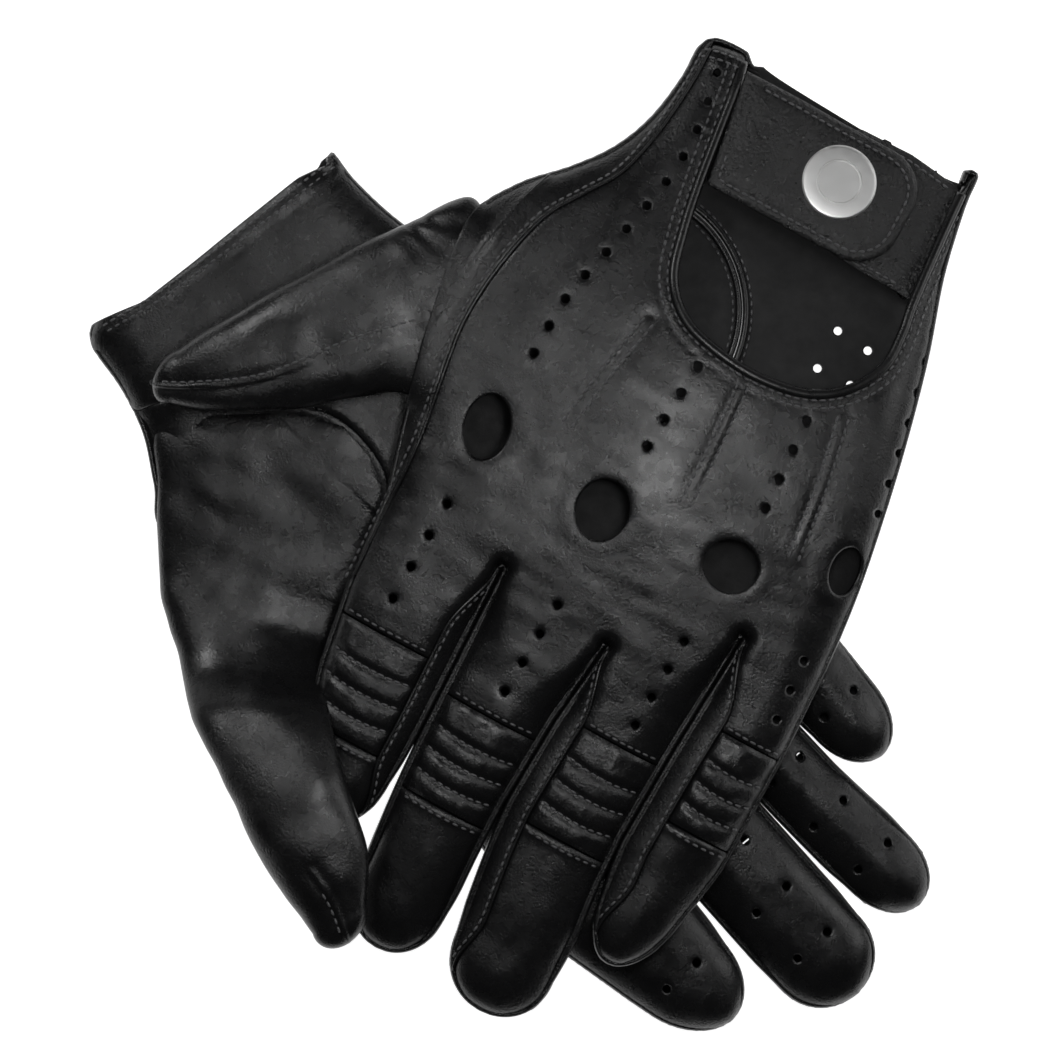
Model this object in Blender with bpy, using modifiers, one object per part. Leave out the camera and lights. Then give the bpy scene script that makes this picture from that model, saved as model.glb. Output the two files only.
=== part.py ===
"""A pair of leather driving gloves lying flat, the left glove on top of the right one.

The left glove lies with the back of the hand up and the right glove with its palm up. Both are cut
from the same set of leather pieces, so one set of functions builds each glove in its own frame, in
millimetres: x runs across the hand toward the thumb, y from the cuff to the fingertips, and z from
the palm (0) to the back of the hand (THICK). `add` then sets each piece down in the world frame, in
metres: the origin is on the surface under the middle of the pair and +Z is up. The left glove's
fingers lie on the right glove, and its cuff hangs down to the surface.
"""

from math import cos, pi, radians, sin, sqrt

import bmesh
import bpy
import numpy as np
from mathutils import Matrix, Vector
from mathutils.geometry import delaunay_2d_cdt

# Driving dimensions, in millimetres and degrees
LEATHER = 0.9       # thickness of the nappa leather
THICK = 12.0        # a glove lying flat, palm to back
MIDDLE = THICK / 2
ROLL = 7.0          # width over which a panel rolls down to its side seam
GAP = 0.3           # clearance between neighbouring pieces
SEAM_RISE = 0.15    # a panel's edge above the middle, where it meets the other panel
WALL_RISE = 1.9     # the same where a fourchette stands between the panels
FINGER_GAP = 1.2    # half of the plan gap between two fingers
TIP_ROUND = 17.0    # length over which a fingertip rounds off
GRID = 9.5          # spacing of the points inside a panel
CAP_RADIUS = 9.5    # the snap's visible cap
STEM_RADIUS = 1.6
SNAP = (-7.0, 19.5)
LIFT = THICK + 0.5  # the left glove lies on the right one
DROOP = 0.15        # how steeply its free cuff hangs down to the surface, as a slope
DROOP_START = 60.0  # it hangs straight below here, and bends between here and DROOP_END
DROOP_END = 100.0


class Glove:
    """One glove's outline in its own frame, and where it lies in the world."""

    def __init__(self, side, origin, heading, base, palm_up, strap_drop, notch, fingers, gaps, little_side,
                 thumb_side, index_side, thumb_lines, thumb_heights, gusset):
        self.side = side
        self.fingers = fingers          # name: (y of the tip, quilted pad from, to)
        self.gaps = gaps                # between fingers: (x at the root, y of the root, x at the tip)
        self.little_side = little_side
        self.thumb_side = thumb_side
        self.index_side = index_side
        self.thumb_lines = thumb_lines
        self.thumb_heights = thumb_heights
        self.gusset = gusset            # centre and radii of the thumb piece set into the palm
        self.strap_drop = strap_drop
        self.notch = notch              # how far the keyhole and its strap sit toward the thumb
        self.snap = (SNAP[0] + notch, SNAP[1])
        turn = Matrix.Rotation(radians(heading - 90.0), 4, "Z")
        flip = Matrix.Scale(-1, 4, Vector((0, 0, 1))) if palm_up else Matrix.Identity(4)
        rise = base + (THICK if palm_up else 0.0)
        shift = Matrix.Translation(Vector((origin[0], origin[1], rise)))
        self.palm_up = palm_up
        self.matrix = Matrix.Scale(0.001, 4) @ shift @ turn @ flip

    def edges(self, finger, y):
        """The x of a finger's two sides at y, the little-finger side first."""
        order = list(self.fingers)
        place = order.index(finger)
        tip = self.fingers[finger][0]
        if place == 0:
            low = np.interp(y, *zip(*[(q, p) for p, q in self.little_side]))
        else:
            low = gap_x(self.gaps[place - 1], y) + FINGER_GAP
        if place == len(order) - 1:
            high = np.interp(y, *zip(*[(q, p) for p, q in self.index_side]))
        else:
            high = gap_x(self.gaps[place], y) - FINGER_GAP
        middle = (low + high) / 2
        round_from = tip - TIP_ROUND
        share = max(0.0, (y - round_from) / (tip - round_from))
        half = (high - low) / 2 * (1.0 - 0.12 * min(1.0, max(0.0, (y - 170.0) / 60.0)))
        half *= sqrt(max(0.0, 1.0 - share**2.4))
        return middle - half, middle + half

    def root(self, finger, toward_thumb):
        """The y where a finger's side leaves its neighbour."""
        place = list(self.fingers).index(finger)
        if toward_thumb:
            return self.gaps[place][1] if place < len(self.gaps) else self.index_side[0][1]
        return self.gaps[place - 1][1] if place > 0 else self.little_side[-3][1]

    def finger_outline(self, finger, low_from, high_from, to):
        """The finger's outline in plan, from its little-finger side round to its thumb side."""
        ends = self.fourchette_ends()
        low_side = [(self.edges(finger, y)[0], y) for y in span(low_from, to, ends)]
        high_side = [(self.edges(finger, y)[1], y) for y in span(high_from, to, ends)]
        if low_side[-1] == high_side[-1]:
            high_side = high_side[:-1]
        return low_side + high_side[::-1]

    def silhouette(self):
        """The open line round the hand, from the little-finger side of the cuff to the thumb side."""
        points = [(x, y) for x, y in self.little_side if y < self.little_side[-3][1]]
        for finger, (tip, _, _) in self.fingers.items():
            points += self.finger_outline(finger, self.root(finger, False), self.root(finger, True), tip)
        points += [(x, y) for x, y in self.index_side[::-1] if y < self.index_side[0][1] + 1]
        return points + self.thumb_side

    def rise(self, points):
        """The height over the glove's middle of a panel's inner face."""
        line = np.array(self.silhouette())
        start, end = line[:-1], line[1:]
        run = end - start
        rows = []
        for x, y in points:
            along = ((np.array((x, y)) - start) * run).sum(1) / np.maximum((run**2).sum(1), 1e-9)
            nearest = start + run * np.clip(along, 0, 1)[:, None]
            away = np.hypot(*(np.array((x, y)) - nearest).T)
            index = int(away.argmin())
            share = min(1.0, away[index] / ROLL)
            edge = WALL_RISE if self.beside_gap(nearest[index]) else SEAM_RISE
            crown = MIDDLE - LEATHER
            rows.append(edge + (crown - edge) * (1.0 - (1.0 - share) ** 2))
        return rows

    def beside_gap(self, point):
        ends = self.fourchette_ends()
        return any(abs(point[0] - gap_x(gap, point[1])) < 5.0 and gap[1] - 1 < point[1] < end + 1
                   for gap, end in zip(self.gaps, ends))

    def fourchette_ends(self):
        """The y where each fourchette runs out, short of the shorter finger's tip."""
        tips = [tip for tip, _, _ in self.fingers.values()]
        return [min(pair) - TIP_ROUND for pair in zip(tips, tips[1:])]


def gap_x(gap, y):
    x_root, y_root, x_tip = gap
    return x_root + (x_tip - x_root) * (y - y_root) / 80.0


def span(start, end, marks):
    """Levels from start to end through the marks, closer together where a fingertip rounds off."""
    levels = [start + (end - start) * share for share in (0.0, 0.35, 0.7)]
    if end - start > 25:
        levels += [end - back for back in (TIP_ROUND + 1, 12.5, 8.5, 5.0, 2.3, 0.7)]
    levels += [mark for mark in marks if start + 3 < mark < end - 5]
    return sorted(set(levels)) + [end]


def outline_sheet(name, outline, holes=(), spacing=GRID):
    """A flat mesh that fills an outline, with evenly spaced points inside and the holes left out."""
    loops = [list(outline)] + [list(hole) for hole in holes]
    points = [Vector(point) for loop in loops for point in loop]
    edges = []
    first = 0
    for loop in loops:
        edges += [(first + step, first + (step + 1) % len(loop)) for step in range(len(loop))]
        first += len(loop)
    rims = [np.array(loop) for loop in loops]
    low, high = rims[0].min(0), rims[0].max(0)
    rows = int((high[1] - low[1]) / (spacing * 0.87)) + 1
    columns = int((high[0] - low[0]) / spacing) + 2
    for row in range(rows):
        for column in range(columns):
            spot = (low[0] + spacing * (column - 0.5 * (row % 2)), low[1] + spacing * 0.87 * (row + 0.5))
            if inside(spot, rims[0]) and not any(inside(spot, rim) for rim in rims[1:]):
                if min(distance(spot, rim) for rim in rims) > 0.45 * spacing:
                    points.append(Vector(spot))
    filled = delaunay_2d_cdt(points, edges, [], 0, 1e-6)
    flat = np.array([(p.x, p.y) for p in filled[0]])
    kept = []
    for face in filled[2]:
        middle = flat[face].mean(0)
        if inside(middle, rims[0]) and not any(inside(middle, rim) for rim in rims[1:]):
            kept.append(face)
    mesh = bpy.data.meshes.new(name)
    mesh.from_pydata([(x, y, 0.0) for x, y in flat], [], kept)
    return mesh


def inside(spot, rim):
    x, y = spot
    ahead = np.roll(rim, -1, axis=0)
    crosses = (rim[:, 1] > y) != (ahead[:, 1] > y)
    rise = np.where(ahead[:, 1] == rim[:, 1], 1e-9, ahead[:, 1] - rim[:, 1])
    at = rim[:, 0] + (y - rim[:, 1]) * (ahead[:, 0] - rim[:, 0]) / rise
    return bool((crosses & (x < at)).sum() % 2)


def distance(spot, rim):
    run = np.roll(rim, -1, axis=0) - rim
    along = ((np.array(spot) - rim) * run).sum(1) / np.maximum((run**2).sum(1), 1e-9)
    nearest = rim + run * np.clip(along, 0, 1)[:, None]
    return float(np.hypot(*(np.array(spot) - nearest).T).min())


def droop(y):
    """How far the glove on top has come down at a distance y from its cuff."""
    bend = DROOP_END - DROOP_START
    if y >= DROOP_END:
        return 0.0
    if y > DROOP_START:
        return DROOP * (DROOP_END - y) ** 2 / (2 * bend)
    return DROOP * ((DROOP_START + DROOP_END) / 2 - y)


def add(glove, name, mesh, material, thickness=0.0, outward=1.0):
    """Put a mesh made in the glove's frame into the world as one named piece."""
    if not glove.palm_up:
        for vertex in mesh.vertices:
            vertex.co.z -= droop(vertex.co.y)
    mesh.transform(glove.matrix)
    if glove.matrix.determinant() < 0:
        mesh.flip_normals()
    piece = bpy.data.objects.new(f"{glove.side}_{name}", mesh)
    mesh.materials.append(material)
    PARTS.objects.link(piece)
    if thickness:
        shell = piece.modifiers.new("leather", "SOLIDIFY")
        shell.thickness = thickness * 0.001
        shell.offset = outward
        shell.use_even_offset = False
    return piece


def skin(glove, name, outline, holes=(), on_back=True, material=None, thickness=LEATHER, spacing=GRID):
    """A leather panel on the back or the palm: a flat pattern raised to the glove's form."""
    mesh = outline_sheet(name, outline, holes, spacing)
    rises = glove.rise([(v.co.x, v.co.y) for v in mesh.vertices])
    for vertex, rise in zip(mesh.vertices, rises):
        vertex.co.z = MIDDLE + rise if on_back else MIDDLE - rise
    if not on_back:
        mesh.flip_normals()
    return add(glove, name, mesh, material or LEATHER_BLACK, thickness)


def plate(glove, name, outline, holes, low, high, material):
    """A flat piece of even thickness between two heights."""
    mesh = outline_sheet(name, outline, holes, spacing=60.0)
    for vertex in mesh.vertices:
        vertex.co.z = low
    return add(glove, name, mesh, material, high - low)


def turned(glove, name, profile, material, segments=28):
    """A round piece on the snap's axis, from a profile of (radius, height) points."""
    mesh = bpy.data.meshes.new(name)
    edges = [(k, (k + 1) % len(profile)) for k in range(len(profile))]
    off_axis = [(a, b) for a, b in edges if profile[a][0] > 0 or profile[b][0] > 0]
    mesh.from_pydata([(r + glove.snap[0], glove.snap[1], z) for r, z in profile], off_axis, [])
    shape = bmesh.new()
    shape.from_mesh(mesh)
    bmesh.ops.spin(shape, geom=shape.verts[:] + shape.edges[:], cent=(*glove.snap, 0), axis=(0, 0, 1),
                   angle=2 * pi, steps=segments, use_merge=True)
    bmesh.ops.remove_doubles(shape, verts=shape.verts[:], dist=1e-4)
    bmesh.ops.recalc_face_normals(shape, faces=shape.faces[:])
    shape.to_mesh(mesh)
    shape.free()
    piece = add(glove, name, mesh, material)
    piece.data.shade_smooth()
    piece.data.set_sharp_from_angle(angle=radians(35))
    return piece


def arc(centre, radius, start, end, steps=10):
    """Points on an arc; the radius may be a pair for an ellipse."""
    rx, ry = radius if isinstance(radius, tuple) else (radius, radius)
    angles = [radians(start + (end - start) * step / steps) for step in range(steps + 1)]
    return [(centre[0] + rx * cos(a), centre[1] + ry * sin(a)) for a in angles]


def ring_outline(centre, radius, steps=20):
    return arc(centre, radius, 0, 360, steps)[:-1]


def keyhole_edge(glove, inset=0.0):
    """The edge of the opening in the back, from the thumb side of the cuff to the little-finger side."""
    thumb_side = [(28.0 + inset, 1.0), (25.5 + inset, 20.0), (22.0 + inset, 38.0), (19.0 + inset, 52.0)]
    bowl = arc((-10.5, 51.0), (27.5 + inset, 20.5 + inset), 22, 158, 12)
    little_side = [(-38.0 - inset, 50.0), (-36.5 - inset, 37.0), (-34.0 - inset, 4.0)]
    return [(x + glove.notch, y) for x, y in thumb_side + bowl + little_side]


KNUCKLES = (((41, 115), (5.6, 8.0)), ((6, 120), (6.6, 7.4)), ((-29, 117), (7.0, 6.6)))
OVERLAP = 0.9       # gap along y between a finger's back, its quilted pad and its fingertip


def back_panel(glove):
    """The back of the hand with its keyhole and three large knuckle holes, up to the quilted pads."""
    outline = [(x, y) for x, y in glove.little_side if y < glove.little_side[-3][1]]
    for finger, (_, pad_from, _) in glove.fingers.items():
        outline += glove.finger_outline(finger, glove.root(finger, False), glove.root(finger, True), pad_from)
    outline += [(x, y) for x, y in glove.index_side[::-1] if y < glove.index_side[0][1] + 1]
    outline += glove.thumb_side
    outline += keyhole_edge(glove, inset=2.6)
    holes = [ring_outline(centre, radius, 14) for centre, radius in KNUCKLES]
    skin(glove, "back_panel", outline, holes)


def palm_panel(glove):
    """The palm and the fronts of the fingers in one piece, with an oval cut for the thumb piece."""
    outline = glove.silhouette() + [(20.0, 3.0), (0.0, 3.0), (-20.0, 3.0)]
    centre, radius = glove.gusset
    hole = ring_outline(centre, (radius[0] + GAP, radius[1] + GAP), 24)
    skin(glove, "palm_panel", outline, [hole], on_back=False)


def thumb_gusset(glove):
    """The ball of the thumb, set into the oval of the palm, and the binding of its seam inside."""
    centre, radius = glove.gusset
    skin(glove, "thumb_gusset", ring_outline(centre, radius, 24), on_back=False)
    outer = ring_outline(centre, (radius[0] + 1.6, radius[1] + 1.6), 24)
    inner = ring_outline(centre, (radius[0] - 1.6, radius[1] - 1.6), 24)
    mesh = outline_sheet("binding", outer, [inner], spacing=60.0)
    rises = glove.rise([(v.co.x, v.co.y) for v in mesh.vertices])
    for vertex, rise in zip(mesh.vertices, rises):
        vertex.co.z = MIDDLE - rise + 3 * GAP
    add(glove, "thumb_seam_binding", mesh, BINDING_BLACK, 1.1)


def quilted_pads(glove):
    """A padded panel on the back of each finger, over the middle joint."""
    for finger, (_, pad_from, pad_to) in glove.fingers.items():
        start = pad_from + OVERLAP
        outline = glove.finger_outline(finger, start, start, pad_to)
        skin(glove, f"{finger}_quilted_pad", outline, spacing=8.0)


def fingertips(glove):
    for finger, (tip, _, pad_to) in glove.fingers.items():
        start = pad_to + OVERLAP
        skin(glove, f"{finger}_fingertip", glove.finger_outline(finger, start, start, tip), spacing=8.0)


def fourchettes(glove):
    """The strips between the fingers: up one finger's side, round the root and along the next."""
    order = list(glove.fingers)
    wall = 0.8
    half_height = WALL_RISE - 1.0
    for place, gap in enumerate(glove.gaps):
        low, high = order[place], order[place + 1]
        end = glove.fourchette_ends()[place] - 6.0
        start = gap[1] + 1.5
        levels = [start + (end - start) * share for share in (0.0, 0.25, 0.5, 0.75, 1.0)]
        near = [(glove.edges(low, y)[1], y) for y in levels]
        far = [(glove.edges(high, y)[0], y) for y in levels]
        inner = [(near[0][0] + 0.4, near[0][1] - 0.2), (far[0][0] - 0.4, far[0][1] - 0.2)]
        outer = [(x - wall, y) for x, y in near[::-1]]
        outer += [(near[0][0] - wall, near[0][1] - 1.2), (far[0][0] + wall, far[0][1] - 1.2)]
        outer += [(x + wall, y) for x, y in far]
        outline = outer + far[::-1] + inner[::-1] + near
        name = f"{low}_{high}_fourchette"
        plate(glove, name, outline, (), MIDDLE - half_height, MIDDLE + half_height, FOURCHETTE_BLACK)


def thumb(glove):
    """The thumb: a tube from its mouth on the hand to its tip, closed at the tip."""
    around = 14
    rings = []
    for (one, two), (height, half) in zip(glove.thumb_lines, glove.thumb_heights):
        one, two = Vector(one), Vector(two)
        centre = (one + two) / 2
        reach = (two - one) / 2
        ring = []
        for step in range(around):
            angle = 2 * pi * step / around
            spot = centre + reach * cos(angle)
            level = height if not glove.palm_up else THICK - height
            ring.append((spot.x, spot.y, level + half * sin(angle)))
        rings.append(ring)
    mesh = bpy.data.meshes.new("thumb")
    verts = [point for ring in rings for point in ring]
    faces = []
    for row in range(len(rings) - 1):
        for step in range(around):
            after = (step + 1) % around
            start = row * around
            faces.append((start + step, start + after, start + around + after, start + around + step))
    last = (len(rings) - 1) * around
    faces.append(tuple(range(last, last + around)))
    mesh.from_pydata(verts, [], faces)
    shape = bmesh.new()
    shape.from_mesh(mesh)
    bmesh.ops.recalc_face_normals(shape, faces=shape.faces[:])
    centre = sum((v.co for v in shape.verts), Vector()) / len(shape.verts)
    cap = max(shape.faces, key=lambda face: len(face.verts))
    if (cap.calc_center_median() - centre).dot(cap.normal) < 0:
        bmesh.ops.reverse_faces(shape, faces=shape.faces[:])
    shape.to_mesh(mesh)
    shape.free()
    add(glove, "thumb", mesh, LEATHER_BLACK, LEATHER, outward=-1.0)


def strap_outline(glove, root=24.5, end=-15.5, low=5.5, high=36.0, corner=11.0):
    """The closing strap in plan: square at its root, rounded at its free end."""
    lower = arc((end, low + corner), corner, 270, 180, 5)
    upper = arc((end, high - corner), corner, 180, 90, 5)
    outline = [(root + 2.0, low), (root - 2.6, high)] + upper[::-1] + lower[::-1]
    return [(x + glove.notch, y) for x, y in outline]


def closure(glove):
    """The strap, the tab it closes on, and the snap: all at their heights inside the cuff's notch."""
    down = glove.strap_drop
    hole = ring_outline(glove.snap, STEM_RADIUS + GAP, 12)
    plate(glove, "strap", strap_outline(glove), [hole], 14.6 - down, 15.8 - down, STRAP_BLACK)
    lining = strap_outline(glove, root=23.5, end=-15.0, low=6.5, high=35.0, corner=10.0)
    plate(glove, "strap_lining", lining, [hole], 13.7 - down, 14.3 - down, LEATHER_BLACK)
    tab = [(-33.0, 6.0), (-35.0, 36.0), (-8.0, 35.0), (2.0, 29.0), (4.0, 19.5), (2.0, 10.0), (-6.0, 5.5)]
    tab = [(x + glove.notch, y) for x, y in tab]
    plate(glove, "strap_tab", tab, [hole], 9.6 - down, 10.8 - down, STRAP_BLACK)

    def at(points):
        return [(radius, height - down) for radius, height in points]

    turned(glove, "snap_cap", at([(0, 17.6), (8.6, 17.6), (CAP_RADIUS, 17.0), (CAP_RADIUS, 16.1),
                                  (STEM_RADIUS, 16.1), (STEM_RADIUS, 13.75), (0, 13.75)]), CAP_STEEL, 32)
    turned(glove, "snap_socket", at([(2.7, 13.4), (6.0, 13.4), (6.0, 12.0), (2.7, 12.0)]), SNAP_STEEL, 20)
    turned(glove, "snap_stud", at([(0, 13.1), (1.6, 12.9), (2.2, 12.3), (2.0, 11.7), (5.4, 11.7),
                                   (5.4, 11.1), (0, 11.1)]), SNAP_STEEL, 20)
    turned(glove, "snap_post", at([(0, 10.8), (STEM_RADIUS, 10.8), (STEM_RADIUS, 9.3), (5.4, 9.3),
                                   (5.4, 8.6), (0, 8.6)]), SNAP_STEEL, 20)


def keyhole_binding(glove):
    """The narrow strip folded over the keyhole's edge."""
    outline = keyhole_edge(glove, inset=2.2)[1:-1] + keyhole_edge(glove)[1:-1][::-1]
    mesh = outline_sheet("binding", outline, spacing=60.0)
    for vertex in mesh.vertices:
        vertex.co.z = THICK - LEATHER
    add(glove, "keyhole_binding", mesh, BINDING_BLACK, LEATHER)


def cuff_facing(glove):
    """The hem strip inside the palm side of the cuff."""
    outline = [(-18.0, 6.0), (-18.0, 17.0), (20.0, 17.0), (20.0, 6.0)]
    low = LEATHER + 2 * GAP
    plate(glove, "cuff_facing", outline, (), low, low + LEATHER, FOURCHETTE_BLACK)


def material(name, colour, roughness, metallic=0.0):
    made = bpy.data.materials.new(name)
    made.use_nodes = True
    shader = made.node_tree.nodes["Principled BSDF"]
    shader.inputs["Base Color"].default_value = (*colour, 1.0)
    shader.inputs["Roughness"].default_value = roughness
    shader.inputs["Metallic"].default_value = metallic
    return made


def build_glove(glove):
    back_panel(glove)
    palm_panel(glove)
    thumb_gusset(glove)
    quilted_pads(glove)
    fingertips(glove)
    fourchettes(glove)
    thumb(glove)
    keyhole_binding(glove)
    cuff_facing(glove)
    closure(glove)


for old in list(bpy.data.objects):
    bpy.data.objects.remove(old)
PARTS = bpy.data.collections.new("driving_gloves")
bpy.context.scene.collection.children.link(PARTS)

LEATHER_BLACK = material("leather", (0.018, 0.018, 0.019), 0.42)
STRAP_BLACK = material("strap_leather", (0.02, 0.02, 0.021), 0.5)
BINDING_BLACK = material("binding_leather", (0.014, 0.014, 0.015), 0.4)
FOURCHETTE_BLACK = material("fourchette_leather", (0.012, 0.012, 0.013), 0.5)
CAP_STEEL = material("cap_steel", (0.8, 0.8, 0.81), 0.3, 1.0)
SNAP_STEEL = material("snap_steel", (0.5, 0.5, 0.52), 0.35, 1.0)

LEFT = Glove(
    side="left", origin=(79.9, 109.0), heading=-118.5, base=LIFT, palm_up=False, strap_drop=3.0, notch=0.0,
    fingers={"little": (219.0, 154.0, 181.0), "ring": (244.0, 169.0, 196.0),
             "middle": (243.0, 178.0, 203.0), "index": (221.0, 173.0, 200.0)},
    gaps=[(-40.0, 131.0, -38.0), (-10.0, 149.0, -8.0), (21.0, 144.0, 18.5)],
    little_side=[(-34.0, 1.0), (-37.0, 1.0), (-38.0, 10.0), (-42.0, 27.0), (-49.0, 47.0), (-57.0, 88.0),
                 (-61.0, 112.0), (-63.5, 150.0), (-63.5, 185.0), (-57.0, 220.0)],
    thumb_side=[(61.0, 118.0), (71.0, 67.0), (66.0, 61.0), (54.0, 48.0), (45.0, 34.0), (40.5, 18.0),
                (39.5, 3.0), (36.0, 1.0)],
    index_side=[(55.0, 142.0), (52.5, 165.0), (48.0, 185.0), (44.0, 205.0), (40.0, 222.0)],
    thumb_lines=[((73, 67), (63, 117)), ((83, 80), (72, 124)), ((94, 95), (82, 132)), ((104, 111), (94, 139.5)),
                 ((112, 124), (105, 145.5)), ((118, 135), (113.5, 148)), ((120.5, 144), (118, 148.5))],
    thumb_heights=[(6.0, 5.6), (6.2, 5.8), (6.4, 5.8), (6.4, 5.6), (6.2, 5.2), (5.6, 4.2), (5.0, 2.4)],
    gusset=((26.0, 74.0), (31.0, 32.0)))

RIGHT = Glove(
    side="right", origin=(-81.1, 76.0), heading=-48.5, base=0.0, palm_up=True, strap_drop=5.6, notch=4.0,
    fingers={"little": (211.0, 152.0, 178.0), "ring": (245.0, 170.0, 197.0),
             "middle": (252.0, 178.0, 205.0), "index": (236.0, 170.0, 197.0)},
    gaps=[(-30.0, 132.0, -30.0), (-8.0, 150.0, -10.0), (20.0, 146.0, 20.0)],
    little_side=[(-34.0, 4.0), (-37.0, 4.0), (-36.0, 14.0), (-38.0, 31.0), (-45.0, 55.0), (-53.0, 88.0),
                 (-56.0, 112.0), (-54.0, 150.0), (-51.0, 185.0), (-49.0, 215.0)],
    thumb_side=[(39.0, 112.0), (36.5, 84.0), (58.0, 48.5), (53.0, 38.0), (46.0, 26.0), (43.0, 14.0),
                (41.5, 1.0), (38.0, -3.0)],
    index_side=[(50.0, 142.0), (52.0, 172.0), (52.0, 195.0), (46.0, 236.0)],
    thumb_lines=[((62, 51), (40, 86)), ((70, 62), (46, 92)), ((77, 76), (50.5, 99)), ((83, 90), (57, 107)),
                 ((88, 108), (61, 118)), ((91.5, 124), (66, 131)), ((94, 138), (72, 143)),
                 ((95, 148), (80, 151.5)), ((93, 155), (88, 157.5))],
    thumb_heights=[(6.0, 5.4), (8.0, 5.8), (13.5, 6.0), (24.0, 6.0), (31.0, 6.0), (33.0, 6.0), (33.2, 5.6),
                   (33.0, 4.4), (32.5, 2.4)],
    gusset=((24.0, 62.0), (18.5, 22.0)))

for pair in (LEFT, RIGHT):
    build_glove(pair)
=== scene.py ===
"""The finished leather of a pair of driving gloves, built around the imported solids.

Each glove is built in its own frame, in millimetres: x runs across the hand toward the thumb, y from
the cuff to the fingertips, z from the palm to the back of the hand. `Glove.matrix` sets it down in
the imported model's frame, from the place of its snap cap.
"""

from math import cos, pi, radians, sin

import bmesh
import bpy
import numpy as np
from mathutils import Matrix, Vector, kdtree, noise
from mathutils.geometry import delaunay_2d_cdt


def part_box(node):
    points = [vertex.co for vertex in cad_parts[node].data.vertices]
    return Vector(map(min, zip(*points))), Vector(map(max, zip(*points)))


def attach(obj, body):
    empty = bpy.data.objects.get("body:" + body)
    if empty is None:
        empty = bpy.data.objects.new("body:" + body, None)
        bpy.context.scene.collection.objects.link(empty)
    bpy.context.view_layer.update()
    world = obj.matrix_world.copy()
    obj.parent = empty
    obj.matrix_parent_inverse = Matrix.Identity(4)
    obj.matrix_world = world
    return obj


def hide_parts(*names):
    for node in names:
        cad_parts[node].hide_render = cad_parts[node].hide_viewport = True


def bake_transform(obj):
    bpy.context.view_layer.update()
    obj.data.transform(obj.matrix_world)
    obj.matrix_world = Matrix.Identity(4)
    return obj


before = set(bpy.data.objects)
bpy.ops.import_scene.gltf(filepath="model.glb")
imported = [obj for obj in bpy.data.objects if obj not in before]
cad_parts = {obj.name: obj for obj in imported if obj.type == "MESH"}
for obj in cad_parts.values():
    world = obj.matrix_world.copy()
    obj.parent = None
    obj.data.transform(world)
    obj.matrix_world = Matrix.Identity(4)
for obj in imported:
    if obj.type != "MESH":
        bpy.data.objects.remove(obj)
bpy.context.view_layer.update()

# Driving dimensions, in millimetres and degrees
THICK = 12.0            # a glove lying flat, palm to back
MIDDLE = THICK / 2
LIFT = THICK + 0.5      # the left glove's palm lies on the right glove
LEATHER = 0.9           # thickness of the leather
FINE = 1.15             # spacing of the points inside a leather panel
ROLL = 12.0             # width over which a panel rolls down to its side seam
ROOT_ROLL = 3.6         # the same at the roots of the fingers
RIM_RISE = 0.45         # how far a panel's edge still stands off the glove's middle
FINGER_GAP = 0.55       # half of the plan gap between two fingers
TIP_ROUND = 15.0        # length of a fingertip's rounded end
HOLE = 1.05             # radius of a perforation
HOLE_DIP = 0.18         # how far the leather sinks at a hole's edge
SNAP = (-7.0, 19.5)     # the middle of the snap's cap in plan
CAP_RADIUS = 9.5        # at the widest part of the cap's rim
STITCH = 2.2            # pitch of a seam's stitches
THREAD = 0.31           # radius of the thread
STITCH_LENGTH = 1.6     # of the part of a stitch that shows
SLOPE_STEP = 0.7        # how far apart two heights are read to find a stitch's slope
DROOP_START = 60.0      # from this level to the cuff the top glove slopes evenly down to the table,
DROOP_END = 100.0       # and it bends down between this level and DROOP_START
BATCH = 4000            # points tested against an outline at one time

# ---------------------------------------------------------------- plan geometry

def arc(centre, radius, start, end, steps):
    """Points on an arc of an ellipse, between two angles in degrees."""
    rx, ry = radius
    angles = np.radians(np.linspace(start, end, steps + 1))
    return [(centre[0] + rx * cos(a), centre[1] + ry * sin(a)) for a in angles]


def oval(centre, radius, lean=0.0, steps=32):
    """An ellipse, leaning to the left by some degrees."""
    points = arc((0.0, 0.0), radius, 0, 360, steps)[:-1]
    c, s = cos(radians(lean)), sin(radians(lean))
    return [(centre[0] + c * x - s * y, centre[1] + s * x + c * y) for x, y in points]


def smooth_line(points, step=1.0, closed=False):
    """A Catmull-Rom curve through the points, sampled about every `step`."""
    knots = [np.array(p, float) for p in points]
    if closed:
        knots = [knots[-1]] + knots + knots[:2]
    else:
        knots = [2 * knots[0] - knots[1]] + knots + [2 * knots[-1] - knots[-2]]
    line = []
    for a, b, c, d in zip(knots, knots[1:], knots[2:], knots[3:]):
        count = max(1, int(np.linalg.norm(c - b) / step))
        for share in np.arange(count) / count:
            t2, t3 = share**2, share**3
            line.append(0.5 * (2 * b + (c - a) * share + (2 * a - 5 * b + 4 * c - d) * t2
                               + (3 * b - a - 3 * c + d) * t3))
    if not closed:
        line.append(knots[-2])
    return np.array(line)


def resampled(points, step, closed=False):
    """The same line with its points spaced evenly."""
    line = np.array(points, float)
    if closed:
        line = np.vstack([line, line[:1]])
    lengths = np.r_[0.0, np.cumsum(np.hypot(*np.diff(line, axis=0).T))]
    count = max(2, int(round(lengths[-1] / step)))
    at = np.linspace(0.0, lengths[-1], count + 1)
    even = np.stack([np.interp(at, lengths, line[:, axis]) for axis in range(line.shape[1])], -1)
    return even[:-1] if closed else even


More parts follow.
